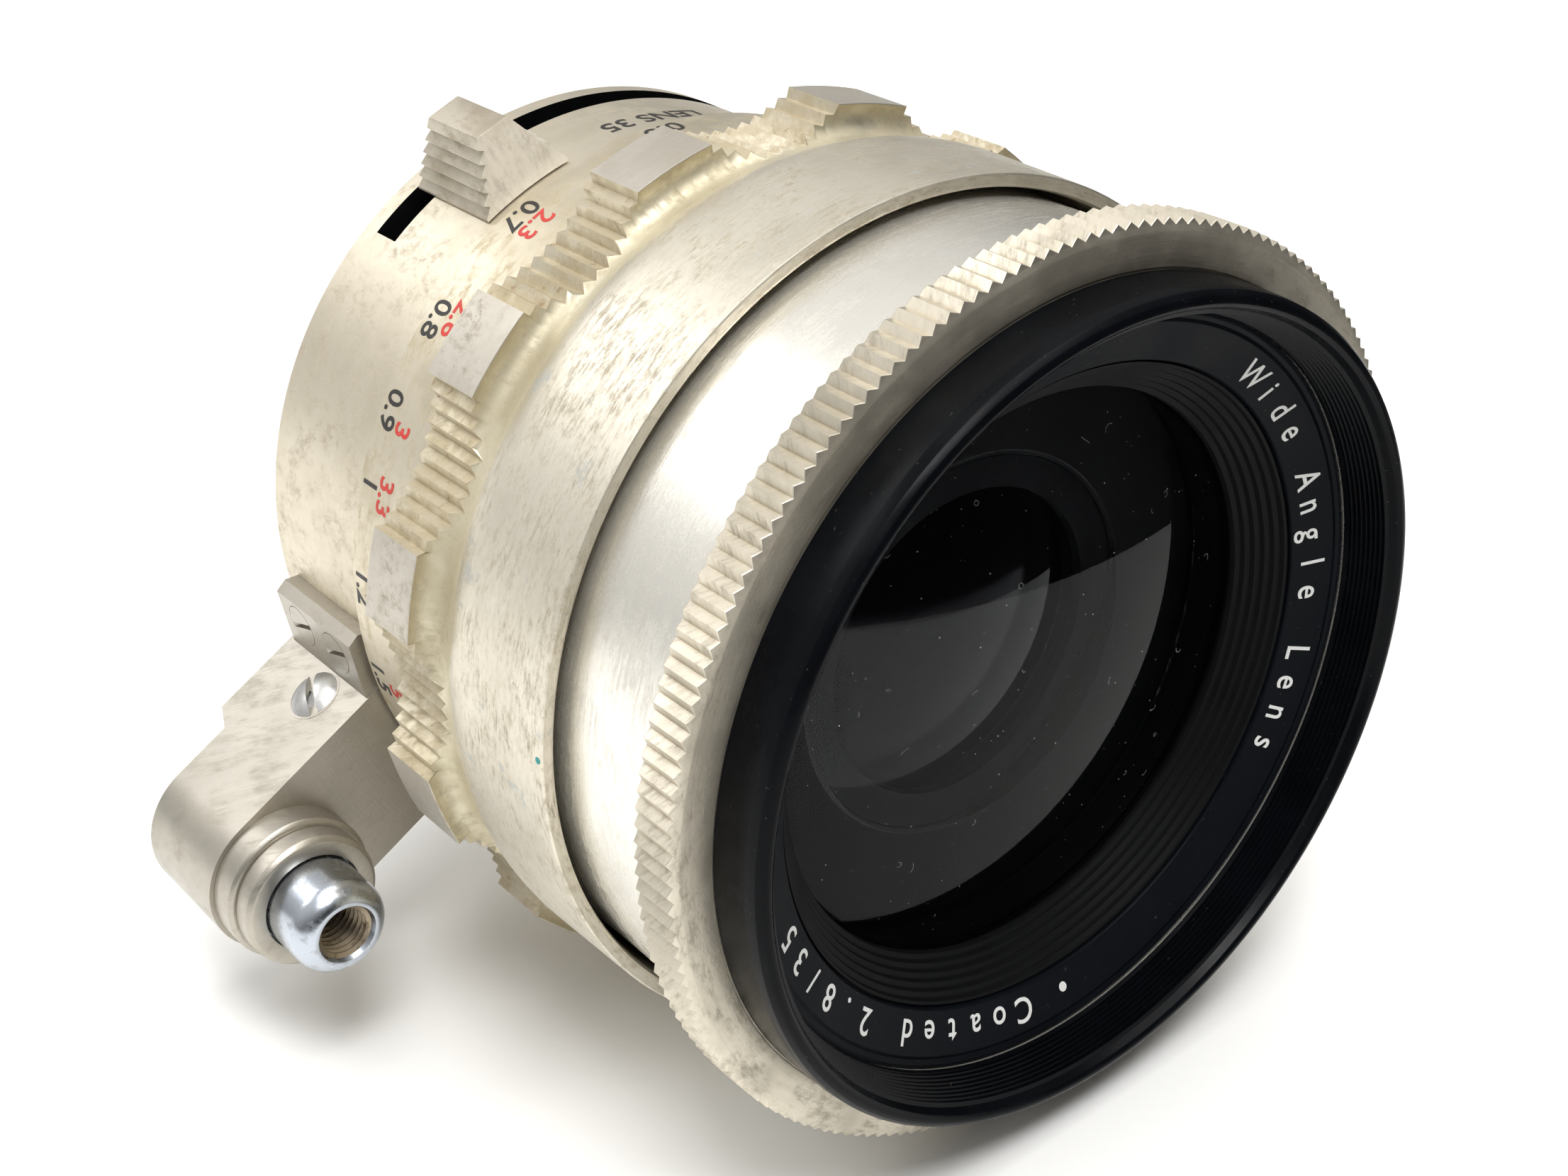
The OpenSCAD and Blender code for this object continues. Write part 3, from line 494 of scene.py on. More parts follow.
def glass(name, tint, coat):
    """Clear glass, its tint drifting toward the coating's."""
    k = Mat(name)
    film = k.noise(k.plain(0.05, 2.0), 2.0, 0.5)
    colour = k.mix(k.math("MULTIPLY", film, 0.6), tint, coat)
    k.set(color=colour, metal=0.0, rough=0.0, trans=1.0, ior=GLASS_IOR)
    return k.m


m_blacking = black_anodised("edge_blacking", (0.002, 0.002, 0.002), 0.7, 0.03, 0.05)
m_glass = glass("front_glass", (0.93, 0.95, 0.97), (0.90, 0.92, 0.99))
m_glass_inner = glass("inner_glass", (0.42, 0.42, 0.52), (0.36, 0.38, 0.50))

# a stand-in: the second glass is opaque and nearly black, painted shade for the dark depth of the lens
k_painted_dark_depth = Mat("inner_glass_painted_shade")
k_painted_dark_depth.set(color=k_painted_dark_depth.mix(k_painted_dark_depth.noise(k_painted_dark_depth.plain(0.1)), (0.001, 0.001, 0.002), (0.002, 0.0015, 0.003)),
           rough=k_painted_dark_depth.math("MULTIPLY_ADD", k_painted_dark_depth.noise(k_painted_dark_depth.plain(0.4)), 0.05, 0.08), spec=0.05)


def paint(name, colour):
    """The paint of an engraved mark, paler where it has worn."""
    k = Mat(name)
    worn = k.step(k.noise(k.plain(2.5, 3.0), 3.0, 0.7), 0.62, 0.75)
    k.set(color=k.mix(k.math("MULTIPLY", worn, 0.35), colour, tuple(0.6 * c + 0.25 for c in colour)),
          metal=0.0, rough=0.5, normal=k.bump(k.noise(k.plain(6.0), 2.0, 0.6), 0.004, 0.5))
    return k.m


m_ink_black = paint("black_paint", (0.020, 0.018, 0.016))
m_ink_red = paint("red_paint", (0.52, 0.035, 0.025))
m_ink_white = paint("white_paint", (0.80, 0.80, 0.78))


# ---- fixed barrel ----------------------------------------------------------

BARREL_R = 25.0  # the rear barrel's outside
ARM = 118.0  # the arm's clock angle
ARM_SIDES = (-6.3, 4.5)  # its two sides
ARM_MID = -0.9  # and its middle, across it
REACH = 37.9  # the button's distance from the lens's axis
FOOT = 98.2  # the clock angle that the arm's foot faces
SLOT = (-60, 37.3)  # the ends of the lever's slot
arm_point, foot_point = local(ARM), local(FOOT)


rear = lathe("rear_barrel_turned", [
    (19.3, 0.8), (22.3, 0.8), (22.3, 0.0), (24.8, 0.0), (25.0, 0.2), (25.0, 12.2), (24.1, 12.2), (24.1, 18.6),
    (23.5, 18.6), (23.5, 20.2), (22.95, 20.2), (22.95, 12.0), (23.3, 11.4), (23.3, 1.35), (21.6, 1.35),
    (21.6, 4.2), (19.3, 4.2)], "fixed_barrel", m_rear, 0.05)
screw_cuts = []
for i in range(4):
    base = at(45 + 90 * i, 20.5, -0.02)
    screw_cuts += [drum(base, FORWARD, 0.65, 1.27, 0.65), drum(base, FORWARD, 3.3, 0.65)]
foot_cuts = []
for h in (4.4, 9.0):
    base = foot_point(26.75, 0.5, h)
    inward = -at(FOOT, 1, 0)
    foot_cuts += [drum(base, inward, 0.85, 1.6, 0.75), drum(base, inward, 3.4, 0.75)]
# the lever's slot: its cut walls take the black inside finish, painted shade in the slot
cut(rear, [sector(*SLOT, 22.5, 26, 1.55, 3.85)], mat=m_black_inner)
cut(rear, [block(ARM, 22, 26, ARM_MID - 1.1, ARM_MID + 1.1, 5, 10.3)] + screw_cuts + foot_cuts)
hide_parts("rear_barrel")

bayonet = lathe("bayonet_turned", [
    (16.8, -5.2), (18.9, -5.2), (18.9, -0.35), (18.7, -0.2), (18.9, 0.0), (22.3, 0.0), (22.3, 0.8),
    (16.8, 0.8)], "fixed_barrel", m_plated, 0.12)
cut(bayonet, screw_cuts)
cut(bayonet, [sector(120 * i - 26, 120 * i + 26, 18.7, 20.0, -5.2, -4.0, 40) for i in range(3)], union=True)
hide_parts("bayonet_ring")

# ---- focusing ring ---------------------------------------------------------

LOBES, LAND_STEPS, ARC_STEPS = 12, 12, 12
LOBE_STEP = 360.0 / LOBES
GRIP_R, HOLLOW_FLOOR = 29.5, 27.75  # radii of the lands between the hollows, and of the hollows' floors
HALF = 9.5  # half the angle of a hollow
TEETH, DEPTH = 10, 0.45  # in each hollow
GRIP_REAR, LAND_EDGE, TOOTH_EDGE = 20.2, 0.07, 0.03
half_w = GRIP_R * math.sin(math.radians(HALF))
sag = GRIP_R * math.cos(math.radians(HALF)) - HOLLOW_FLOOR
arc_r = (half_w ** 2 + sag ** 2) / (2 * sag)
sweep = 2 * math.degrees(math.asin(half_w / arc_r))
centre = HOLLOW_FLOOR + arc_r
NECK_R, NECK_AT, NECK_END = 1.15, (28.75, 25.95), 185.0  # the round neck's arc: radius, centre, end

grip_cols = []
for lobe in range(LOBES):
    for i in range(2 * TEETH + 1):
        a = math.radians(180 - sweep / 2 + i * sweep / (2 * TEETH))
        r = arc_r + (DEPTH if i % 2 else 0)
        x, y = centre + r * math.cos(a), r * math.sin(a)
        grip_cols.append((lobe * LOBE_STEP + math.degrees(math.atan2(y, x)), math.hypot(x, y), True))
    for i in range(1, LAND_STEPS):
        grip_cols.append((lobe * LOBE_STEP + HALF + i * (LOBE_STEP - 2 * HALF) / LAND_STEPS, GRIP_R, False))
grip_cols.sort()
skirt_path = [(24.15, 12.3), (25.72, 12.3), (25.9, 12.36), (26.0, 12.5), (26.0, 15.0), (26.0, 17.6),
              (26.0, GRIP_REAR)]
bell_path = [(27.60, 26.2), (27.66, 26.5), (27.77, 26.85), (27.91, 27.2), (28.05, 27.55), (28.17, 27.9),
             (28.26, 28.3), (28.32, 28.8), (28.35, 29.4), (28.35, 30.5), (28.32, 33.0), (28.29, 36.0),
             (28.27, 37.2), (28.24, 37.32), (28.15, 37.38), (27.62, 37.38), (27.45, 37.3), (27.32, 36.9),
             (27.28, 36.5)]
inner_path = [(27.28, 26.5), (26.4, 26.5), (26.4, 20.9), (25.1, 20.9), (25.1, 18.55), (24.15, 18.55)]
focus_cols = []
for a, r_col, tooth in grip_cols:
    edge = TOOTH_EDGE if tooth else LAND_EDGE
    start = math.degrees(math.acos(max(-1, min(1, (r_col - edge - NECK_AT[0]) / NECK_R))))
    arc = []
    for i in range(ARC_STEPS + 1):
        t = math.radians(start + (NECK_END - start) * i / ARC_STEPS)
        arc.append((NECK_AT[0] + NECK_R * math.cos(t), NECK_AT[1] - NECK_R * math.sin(t)))
    h_edge = arc[0][1]
    grip = [(r_col - edge, GRIP_REAR), (r_col - edge * 0.3, GRIP_REAR + edge * 0.3),
            (r_col, GRIP_REAR + edge), (r_col, 22.6), (r_col, h_edge - edge),
            (r_col - edge * 0.3, h_edge - edge * 0.3)]
    focus_cols.append((a, skirt_path + grip + arc + bell_path + inner_path))
grip_start = len(skirt_path)
neck_start = grip_start + len(grip)
neck_end = neck_start + len(arc) + 3  # the neck's finish runs on over the bell's first points
grip_is_tooth = [tooth for a, r, tooth in grip_cols]


def focus_slot(i, k):
    """The material under point k of column i: skirt, land, toothed hollow, neck or bell."""
    if k < grip_start - 1:
        return 0
    if k < neck_start:
        both = grip_is_tooth[i] and grip_is_tooth[(i + 1) % len(grip_is_tooth)]
        return 2 if both else 1
    return 3 if k < neck_end else 4


focus = columns("focus_ring_knurled", focus_cols, "focus", [m_skirt, m_lobe, m_teeth, m_neck, m_bell],
                focus_slot, 24.0)
even_shading(focus)
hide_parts("focus_ring")

# ---- front barrel ----------------------------------------------------------

front = lathe("front_barrel_turned", [
    (21.4, 15.0), (22.6, 15.0), (22.6, 31.6), (26.8, 31.6), (26.8, 46.9), (25.4, 46.9), (25.4, 50.9),
    (24.1, 50.9), (24.1, 33.2), (21.4, 33.2)], "front", m_barrel, 0.05)
cut(front, [block(a, 20, 24, -1.3, 1.3, 14, 23.8) for a in (60, 240)]
    + [sector(a - 44.5, a + 2.5, 23.5, 26, 48.1, 49.3) for a in (90, 270)])
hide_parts("front_barrel")

# aperture ring: straight V teeth with bevelled ends
knurl_cols = []
for i in range(2 * K_N):
    r = K_TIP if i % 2 == 0 else K_ROOT
    h_rear = K_REAR + (r - 28.45) * 0.41
    h_front = K_FRONT - (r - 28.4) * 0.333
    knurl_cols.append((i * 180.0 / K_N, [
        (25.45, K_REAR), (28.45, K_REAR), (r - 0.03, h_rear - 0.02), (r, h_rear + 0.03), (r, 48.6),
        (r, h_front - 0.03), (r - 0.03, h_front + 0.02), (28.4, 50.28), (28.25, K_FRONT), (27.2, K_FRONT),
        (26.4, K_FRONT), (26.32, 50.27), (26.28, 50.2), (25.45, 50.2)]))
knurl = columns("aperture_ring_knurled", knurl_cols, "aperture", m_knurl, sharp=24.0)
even_shading(knurl)
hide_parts("aperture_ring")

# filter ring with its thread
RIDGES, RIDGE_STEP, RIDGE_DEPTH = 8, 0.31, 0.26
thread = []
for i in range(RIDGES):
    r, h = 24.92 - i * 0.075, 53.55 - i * RIDGE_STEP
    thread += [(r, h), (r - RIDGE_DEPTH, h - 0.1), (r - RIDGE_DEPTH, h - 0.15), (r - 0.02, h - 0.25)]
rim_path = fillet([
    (25.45, 50.35), (26.23, 50.35), (26.2, 53.1), (26.12, 53.75), (25.85, 54.1), (25.6, 54.2), (25.4, 54.2),
    (25.15, 54.05), (25.05, 53.8)], 0.05, closed=False)
filter_path = rim_path + thread + [
    (24.1, 51.05), (24.03, 50.8), (24.08, 50.72), (24.09, 50.93), (25.45, 50.94)]
filter_ring = columns("filter_ring_threaded", [(360 * i / SEG, filter_path) for i in range(SEG)], "front",
                      m_black, sharp=24.0)
even_shading(filter_ring)
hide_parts("filter_ring")

CONE_IN, CONE_OUT = (20.78, 49.42), (23.3, 50.5)  # the two edges of the name ring's lettered face
name_ring = lathe("name_ring_turned", [
    (20.7, 49.0), (22.9, 49.0), (22.9, 49.98), (24.05, 49.98), (24.05, 50.62), (23.75, 50.62),
    (23.55, 50.45), CONE_OUT, CONE_IN, (20.7, 49.3)], "front", m_name, 0.04)
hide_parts("name_ring")

STEPS = 6
steps = []
for i in range(STEPS):
    r, h = 20.5 - i * 0.4, 49.1 - i * 0.46
    steps += [(r, h), (r - 0.14, h - 0.05), (r - 0.2, h - 0.4)]
retainer = lathe("front_retainer_stepped", [(20.55, 46.35), (20.55, 49.15)] + steps + [(18.3, 46.35)],
                 "front", m_black_inner, 0.03)
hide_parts("front_retainer")

front_cell = lathe("front_cell_turned", [
    (10.2, 34.95), (22.9, 34.95), (22.9, 48.8), (20.6, 48.8), (20.6, 46.3), (18.65, 46.3), (18.65, 39.6),
    (12, 39.6), (12, 38.8), (11, 38.8), (11, 36.2), (10.2, 36.2)], "front", m_black_inner, 0.04)
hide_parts("front_cell")

rear_cell = lathe("rear_cell_turned", [
    (12.1, 6.0), (12.3, 5.95), (13.4, 6.0), (13.6, 6.2), (13.6, 24.0), (16.0, 25.5), (16.0, 31.0),
    (11.0, 31.0), (11.0, 28.05), (10.1, 28.05), (10.1, 22.1), (9.2, 22.1), (9.2, 18.5), (11.1, 18.5),
    (11.1, 12.8), (12.1, 12.8)], "front", m_black_inner, 0.05)
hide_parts("rear_cell")

rear_retainer = lathe("rear_retainer_turned", [
    (10.8, 9.45), (10.8, 7.6), (11.6, 6.4), (12.05, 6.4), (12.05, 9.45)], "front", m_black_inner, 0.04)
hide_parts("rear_retainer")


# ---- glass -----------------------------------------------------------------

def cap(vertex, radius, r):
    """Height of a spherical face at radius r; a positive radius has its centre behind the vertex."""
    if radius > 0:
        return vertex - radius + math.sqrt(radius * radius - r * r)
    return vertex - radius - math.sqrt(radius * radius - r * r)


def element(name, node, edge, front_face, rear_face, rear_edge, mat):
    """A lens between two spherical faces, each a (vertex, radius). If its rear edge is smaller
    than its edge, the wall between them and the flat behind it are blackened."""
    rings = 40
    inner = min(edge, rear_edge)
    pts = [(edge * i / rings, cap(*front_face, edge * i / rings)) for i in range(rings + 1)]
    back = [(inner * i / rings, cap(*rear_face, inner * i / rings)) for i in range(rings, -1, -1)]
    if rear_edge < edge:
        back = [(edge, back[0][1])] + back
    ob = lathe(name, pts + back, "front", mat, 0.0, 192, 40.0)
    if rear_edge < edge:
        ob.data.materials.append(m_blacking)
        rim_low, rim_high = cap(*rear_face, inner) - 0.05, cap(*front_face, edge) + 0.05
        for p in ob.data.polygons:
            radii = [math.hypot(ob.data.vertices[i].co.x, ob.data.vertices[i].co.z) / MM for i in p.vertices]
            heights = [-ob.data.vertices[i].co.y / MM for i in p.vertices]
            if min(radii) > inner - 0.05 and rim_low < min(heights) and max(heights) < rim_high and (
                    min(radii) > edge - 0.05 or max(heights) < rim_low + 0.2):
                p.material_index = 1
    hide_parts(node)
    return ob


FRONT_FACE = (48.3, 75.0)
element("front_glass", "front_element", 18.6, FRONT_FACE, (41.9, 34.0), 12.3, m_glass)
element("second_glass", "second_element", 10.95, (40.5, 32.0), (35.4, -60.0), 10.95, k_painted_dark_depth.m)
element("third_glass", "third_element", 10.05, (27.2, -60.0), (24.2, 30.0), 10.05, m_glass_inner)
element("fourth_glass", "fourth_element", 10.05, (24.2, 30.0), (21.2, -45.0), 10.05, m_glass_inner)
element("fifth_glass", "fifth_element", 11.05, (18.9, 90.0), (15.5, -40.0), 11.05, m_glass_inner)
element("sixth_glass", "sixth_element", 12.05, (12.4, 120.0), (8.5, -60.0), 12.05, m_glass_inner)

# dust on the front glass: specks and short curled fibres
dust_v, dust_f = [], []


def speck(p, size):
    """One grain of dust, an uneven octahedron of size mm."""
    b = len(dust_v)
    for d in ((1, 0, 0), (0, 0, 1), (-1, 0, 0), (0, 0, -1), (0, -0.6, 0), (0, 0.2, 0)):
        dust_v.append(p + Vector(d) * size * MM * rng.uniform(0.7, 1.2))
    for i in range(4):
        dust_f.append((b + i, b + (i + 1) % 4, b + 4))
        dust_f.append((b + (i + 1) % 4, b + i, b + 5))


for _ in range(170):
    r, a = 17.6 * math.sqrt(rng.random()), rng.uniform(0, 360)
    speck(at(a, r, cap(*FRONT_FACE, r) + 0.01), rng.choice((0.018, 0.022, 0.03, 0.045)))
for _ in range(22):
    r, a = 17.0 * math.sqrt(rng.random()), rng.uniform(0, 360)
    heading, turn = rng.uniform(0, 6.28), rng.uniform(-0.5, 0.5)
    for k in range(rng.randint(6, 14)):
        heading += turn + rng.uniform(-0.15, 0.15)
        speck(at(a, r, cap(*FRONT_FACE, min(r, 18.0)) + 0.012), 0.02)
        r = min(18.0, max(0.5, r + 0.07 * math.cos(heading)))
        a += math.degrees(0.07 * math.sin(heading) / max(r, 2.0))
k_dust = Mat("dust")
k_dust.set(color=k_dust.mix(k_dust.noise(k_dust.plain(1.5)), (0.55, 0.54, 0.50), (0.85, 0.85, 0.82)),
           rough=0.9)
dust = add("glass_dust", dust_v, dust_f, "front", k_dust.m, sharp=80)


# ---- release arm -----------------------------------------------------------

def prism(points, n):
    """Verts and faces of a solid between two outlines of n points, one listed after the other."""
    return points, walls(n) + [tuple(reversed(range(n))), tuple(range(n, 2 * n))]


ARM_IN, ARM_END_R = 22.0, 5.4  # the arm starts inside the barrel's wall and ends in a half circle
ARM_REAR, ARM_FRONT = 3.25, 11.9
PLUNGER = arm_point(REACH, ARM_MID, 0)
outline = [(ARM_IN, ARM_SIDES[0])] + [
    (REACH + ARM_END_R * math.sin(math.radians(a)), ARM_MID - ARM_END_R * math.cos(math.radians(a)))
    for a in range(0, 181, 4)] + [(ARM_IN, ARM_SIDES[1])]
arm_v, arm_f = prism([arm_point(u, v, h) for h in (ARM_REAR, ARM_FRONT) for u, v in outline], len(outline))
arm = add("arm_bracket_milled", arm_v, arm_f, "fixed_barrel", m_arm)
# the shoulder beside the barrel, and the foot on it
side = [(ARM_IN, 1.4), (32.7, 1.4), (33.9, 3.75), (33.9, 11.89), (ARM_IN, 11.89)]
shoulder = prism([arm_point(u, v, h) for v in (ARM_SIDES[0] + 0.002, ARM_SIDES[1] - 0.002) for u, h in side],
                 len(side))
foot = [(ARM_IN, -1.1), (25.9, -1.8), (26.7, -1.3), (26.7, 3.3), (ARM_IN, 6.0)]
foot = prism([foot_point(u, v, h) for h in (1.9, 11.7) for u, v in foot], len(foot))
cut(arm, [shoulder, foot], union=True)
pivot = arm_point(28.1, ARM_SIDES[0] - 0.02, 7.6)
into = at(ARM + 90, 1, 0)
cut(arm, [drum(BEHIND, FORWARD, 60, BARREL_R + 0.01, seg=SEG)] + foot_cuts + [
    block(ARM, 23, REACH, ARM_MID - 1, ARM_MID + 1, 5.1, 10.2),
    drum(pivot, into, 0.95, 1.97, 1.05), drum(pivot, into, 9.0, 1.05),
    drum(PLUNGER + FORWARD * 4.5 * MM, FORWARD, 20, 3.4, seg=SMALL_SEG),
    drum(PLUNGER + FORWARD * 10.4 * MM, FORWARD, 20, 4.2, seg=SMALL_SEG),
    drum(PLUNGER - FORWARD * 5 * MM, FORWARD, 20, 1.3)])
round_edges(arm, 0.10)
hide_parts("arm_bracket")

button_axis = (PLUNGER.x / MM, PLUNGER.z / MM)
collar = lathe("button_collar_turned", [(4.2, 11.9), (5.1, 11.9), (5.1, 13.85), (4.85, 14.1), (4.2, 14.1)],
               "fixed_barrel", m_arm, 0.06, SMALL_SEG, centre=button_axis)
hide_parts("button_collar")
cap_ring = lathe("button_cap_turned", [
    (4.2, 14.1), (4.62, 14.1), (4.7, 14.3), (4.7, 15.55), (4.4, 15.9), (3.42, 15.9), (3.42, 15.0),
    (4.2, 15.0)], "fixed_barrel", m_arm, 0.08, SMALL_SEG, centre=button_axis)
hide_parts("button_cap")

SOCKET_TURNS, SOCKET_PITCH = 8, 0.5
socket = []
for i in range(SOCKET_TURNS):
    h = 19.95 - i * SOCKET_PITCH
    socket += [(1.88, h), (1.62, h - 0.2), (1.62, h - 0.27), (1.88, h - 0.47)]
plunger_outside = [
    (0.0, 2.6), (0.9, 2.6), (1.2, 2.9), (1.2, 6.95), (3.3, 6.95), (3.3, 7.55), (1.4, 7.55), (1.4, 9.85),
    (3.3, 9.85), (3.3, 14.2), (4.05, 14.2), (4.05, 14.9), (3.3, 14.9), (3.3, 18.7), (3.26, 19.1),
    (3.12, 19.5), (2.88, 19.85), (2.6, 20.12), (2.35, 20.27), (2.2, 20.3), (2.04, 20.27)]
plunger_path = plunger_outside + socket + [(1.75, 15.8), (0.0, 15.3)]


def plunger_slot(i, k):
    """The socket's dark thread from the button's mouth down, and ground steel elsewhere."""
    return 1 if len(plunger_outside) <= k < len(plunger_path) - 1 else 0


plunger = columns("release_plunger_turned", [(360 * i / SMALL_SEG, plunger_path) for i in range(SMALL_SEG)],
                  "plunger", [m_steel, m_socket], plunger_slot, 24.0)
shift(plunger, button_axis)
even_shading(plunger)
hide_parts("release_plunger")

# ---- cocking lever ---------------------------------------------------------

LEVER = 20.7  # its clock angle at rest
LEVER_REAR, LEVER_FRONT = 1.75, 10.4
lever_point = local(LEVER)

RIBS = 5
ridges = []
for i in range(RIBS):
    r, y = 29.4 - i * 0.85, 1.75 + i * 0.33
    ridges += [(r + 0.04, y - 0.02), (r - 0.04, y + 0.02), (r - 0.3, y - 0.35)]
outline = [(24.0, -3.5), (25.2, -3.5), (26.6, -2.72), (26.75, -2.85), (27.6, -2.2), (27.75, -2.32),
           (28.6, -1.72), (29.5, -1.3), (30.02, -1.02), (30.1, -0.85), (30.1, 1.4), (30.0, 1.52)]
outline += ridges + [(25.1, 3.3), (24.0, 3.3)]
lever_v, lever_f = prism([lever_point(u, v, h) for h in (LEVER_REAR, LEVER_FRONT) for u, v in outline],
                         len(outline))
lever = add("cocking_lever_milled", lever_v, lever_f, "lever", m_lever_painted_light)
# the finger piece leans forward, off the barrel's rear edge
slope = math.tan(math.radians(28))
wedge = [(23.0, -4.0), (23.0, 2.0 - 2.0 * slope), (37.0, 2.0 + 12 * slope), (37.0, -4.0)]
cut(lever, [drum(BEHIND, FORWARD, 60, BARREL_R + 0.1, seg=SEG),
            prism([lever_point(u, v, h) for v in (-6, 6) for u, h in wedge], len(wedge))])
shank = block(LEVER, 23.21, 25.6, -2.4, 2.4, LEVER_REAR, 3.65)
cut(lever, [shank], union=True)
# the ribbed side and the top take a darker copy of the same aluminium: painted shade beside the sides'
# painted light
lever.data.materials.append(m_lever_painted_shade)
ribbed_side, top = at(LEVER + 90, 1, 0).normalized(), at(LEVER, 1, 0).normalized()
for p in lever.data.polygons:
    if p.normal.dot(ribbed_side) > 0.2 or p.normal.dot(top) > 0.8:
        p.material_index = 1
round_edges(lever, 0.06)
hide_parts("cocking_lever")

# ---- lettering -------------------------------------------------------------

def glyphs(text, height, weight=0.03):
    """Flat mesh of generic text, its width centred, as (verts, faces) in mm."""
    cu = bpy.data.curves.new("glyphs", "FONT")
    cu.body = text
    cu.size = height / 0.70
    cu.align_x, cu.align_y = "CENTER", "CENTER"
    cu.resolution_u = 4
    cu.offset = weight
    ob = bpy.data.objects.new("glyphs", cu)
    bpy.context.scene.collection.objects.link(ob)
    bpy.context.view_layer.update()
    me = bpy.data.meshes.new_from_object(ob.evaluated_get(bpy.context.evaluated_depsgraph_get()))
    verts = [Vector(v.co) for v in me.vertices]
    faces = [tuple(p.vertices) for p in me.polygons]
    bpy.data.objects.remove(ob)
    bpy.data.curves.remove(cu)
    bpy.data.meshes.remove(me)
    return verts, faces


def infinity_mark(height):
    """Two loops side by side, as flat (verts, faces) in mm."""
    verts, faces, seg = [], [], 24
    for side_x in (-1, 1):
        b = len(verts)
        for i in range(seg):
            a = 2 * math.pi * i / seg
            for r in (height * 0.34, height * 0.24):
                verts.append(Vector((side_x * height * 0.31 + r * math.cos(a), r * math.sin(a), 0)))
        for i in range(seg):
            j = (i + 1) % seg
            faces.append((b + 2 * i, b + 2 * j, b + 2 * j + 1, b + 2 * i + 1))
    return verts, faces


def solid_marks(name, marks, body, mat, thick=0.02):
    """Joins placed glyphs into one thin solid piece. Each mark is (verts, faces, place)."""
    verts, faces = [], []
    for gv, gf, place in marks:
        b, m = len(verts), len(gv)
        for layer in (0.0, thick):
            verts += [place(v.x, v.y, layer) for v in gv]
        edge_use = {}
        for f in gf:
            faces.append(tuple(b + m + i for i in f))
            faces.append(tuple(b + i for i in reversed(f)))
            for i in range(len(f)):
                e = (f[i], f[(i + 1) % len(f)])
                edge_use[e] = edge_use.get(e, 0) + 1
        for (i, j) in edge_use:
            if (j, i) not in edge_use:
                faces.append((b + i, b + j, b + m + j, b + m + i))
    ob = add(name, verts, faces, body, mat, sharp=50)
    return ob


def on_cylinder(radius, clock, h):
    """Places text on a cylinder: its x runs anticlockwise and its top points forward."""
    def place(x, y, lift):
        return at(clock + math.degrees(x / radius), radius + lift, h + y)
    return place


def mark_bar(width, height):
    """An upright stroke, as flat (verts, faces) in mm."""
    w, t = width / 2, height / 2
    return [Vector((-w, -t, 0)), Vector((w, -t, 0)), Vector((w, t, 0)), Vector((-w, t, 0))], [(0, 1, 2, 3)]


def mark_dot(radius, points):
    """A filled dot, as flat (verts, faces) in mm."""
    step = 2 * math.pi / points
    return [Vector((radius * math.cos(i * step), radius * math.sin(i * step), 0)) for i in range(points)], [
        tuple(range(points))]


FOCAL, PRINCIPAL = 35, 65  # mm: the focal length, and the principal plane's distance from the film
INFINITY_AT, TURN_PER_MM = 154.7, 63
FOOT_M = 0.3048
SKIRT_R = 26.0  # the cylinders that carry the scales
STOPS_R = 26.8


def dial_angle(metres):
    """The clock angle of a distance's mark, from how far the lens moves out to focus on it."""
    reach = metres * 1000 - PRINCIPAL
    return INFINITY_AT - TURN_PER_MM * (FOCAL ** 2 / (reach - FOCAL))


metre_marks, feet_marks = [], []
for metres in (0.35, 0.4, 0.45, 0.5, 0.6, 0.7, 0.8, 0.9, 1, 1.2, 1.5, 2, 3, 6):
    v, f = glyphs(f"{metres:g}", 1.55)
    metre_marks.append((v, f, on_cylinder(SKIRT_R, dial_angle(metres), 13.55)))
metre_marks.append((*infinity_mark(1.8), on_cylinder(SKIRT_R, INFINITY_AT, 13.55)))
for feet in (1.2, 1.4, 1.6, 2, 2.3, 2.6, 3, 3.3, 4, 5, 7, 10, 20):
    v, f = glyphs(f"{feet:g}", 1.5)
    feet_marks.append((v, f, on_cylinder(SKIRT_R, dial_angle(feet * FOOT_M), 15.35)))
solid_marks("scale_metres", metre_marks, "focus", m_ink_black)
solid_marks("scale_feet", feet_marks, "focus", m_ink_red)

solid_marks("lip_dot", [(*mark_dot(0.22, 16), on_cylinder(28.27, 85.0, 37.0))], "focus",
            paint("teal_paint", (0.01, 0.28, 0.27)))

# the index of both scales, with the depth of field beside it; a guess, since it's out of view
INDEX = 214.7
index_marks = [(*glyphs("LENS 35", 1.6), on_cylinder(BARREL_R, -6, 8.3)),
               (*mark_bar(0.35, 3.2), on_cylinder(BARREL_R, INDEX, 10.4))]
for clock, stop in ((9, "8"), (18, "16"), (28, "22")):
    for side_clock in (INDEX - clock, INDEX + clock):
        index_marks.append((*mark_bar(0.2, 1.6), on_cylinder(BARREL_R, side_clock, 11.2)))
        index_marks.append((*glyphs(stop, 1.3), on_cylinder(BARREL_R, side_clock, 9.1)))
solid_marks("depth_scale", index_marks, "fixed_barrel", m_ink_black)

STOP_STEP = 7
stop_marks = [(*mark_bar(0.35, 1.5), on_cylinder(STOPS_R, INDEX, 45.9))]
for i, stop in enumerate((2.8, 4, 5.6, 8, 11, 16, 22)):
    if i:
        stop_marks.append((*mark_bar(0.2, 0.8), on_cylinder(STOPS_R, INDEX - STOP_STEP * i, 46.2)))
    stop_marks.append((*glyphs(f"{stop:g}", 1.4), on_cylinder(STOPS_R, INDEX - STOP_STEP * i, 44.2)))
solid_marks("aperture_scale", stop_marks, "front", m_ink_black)


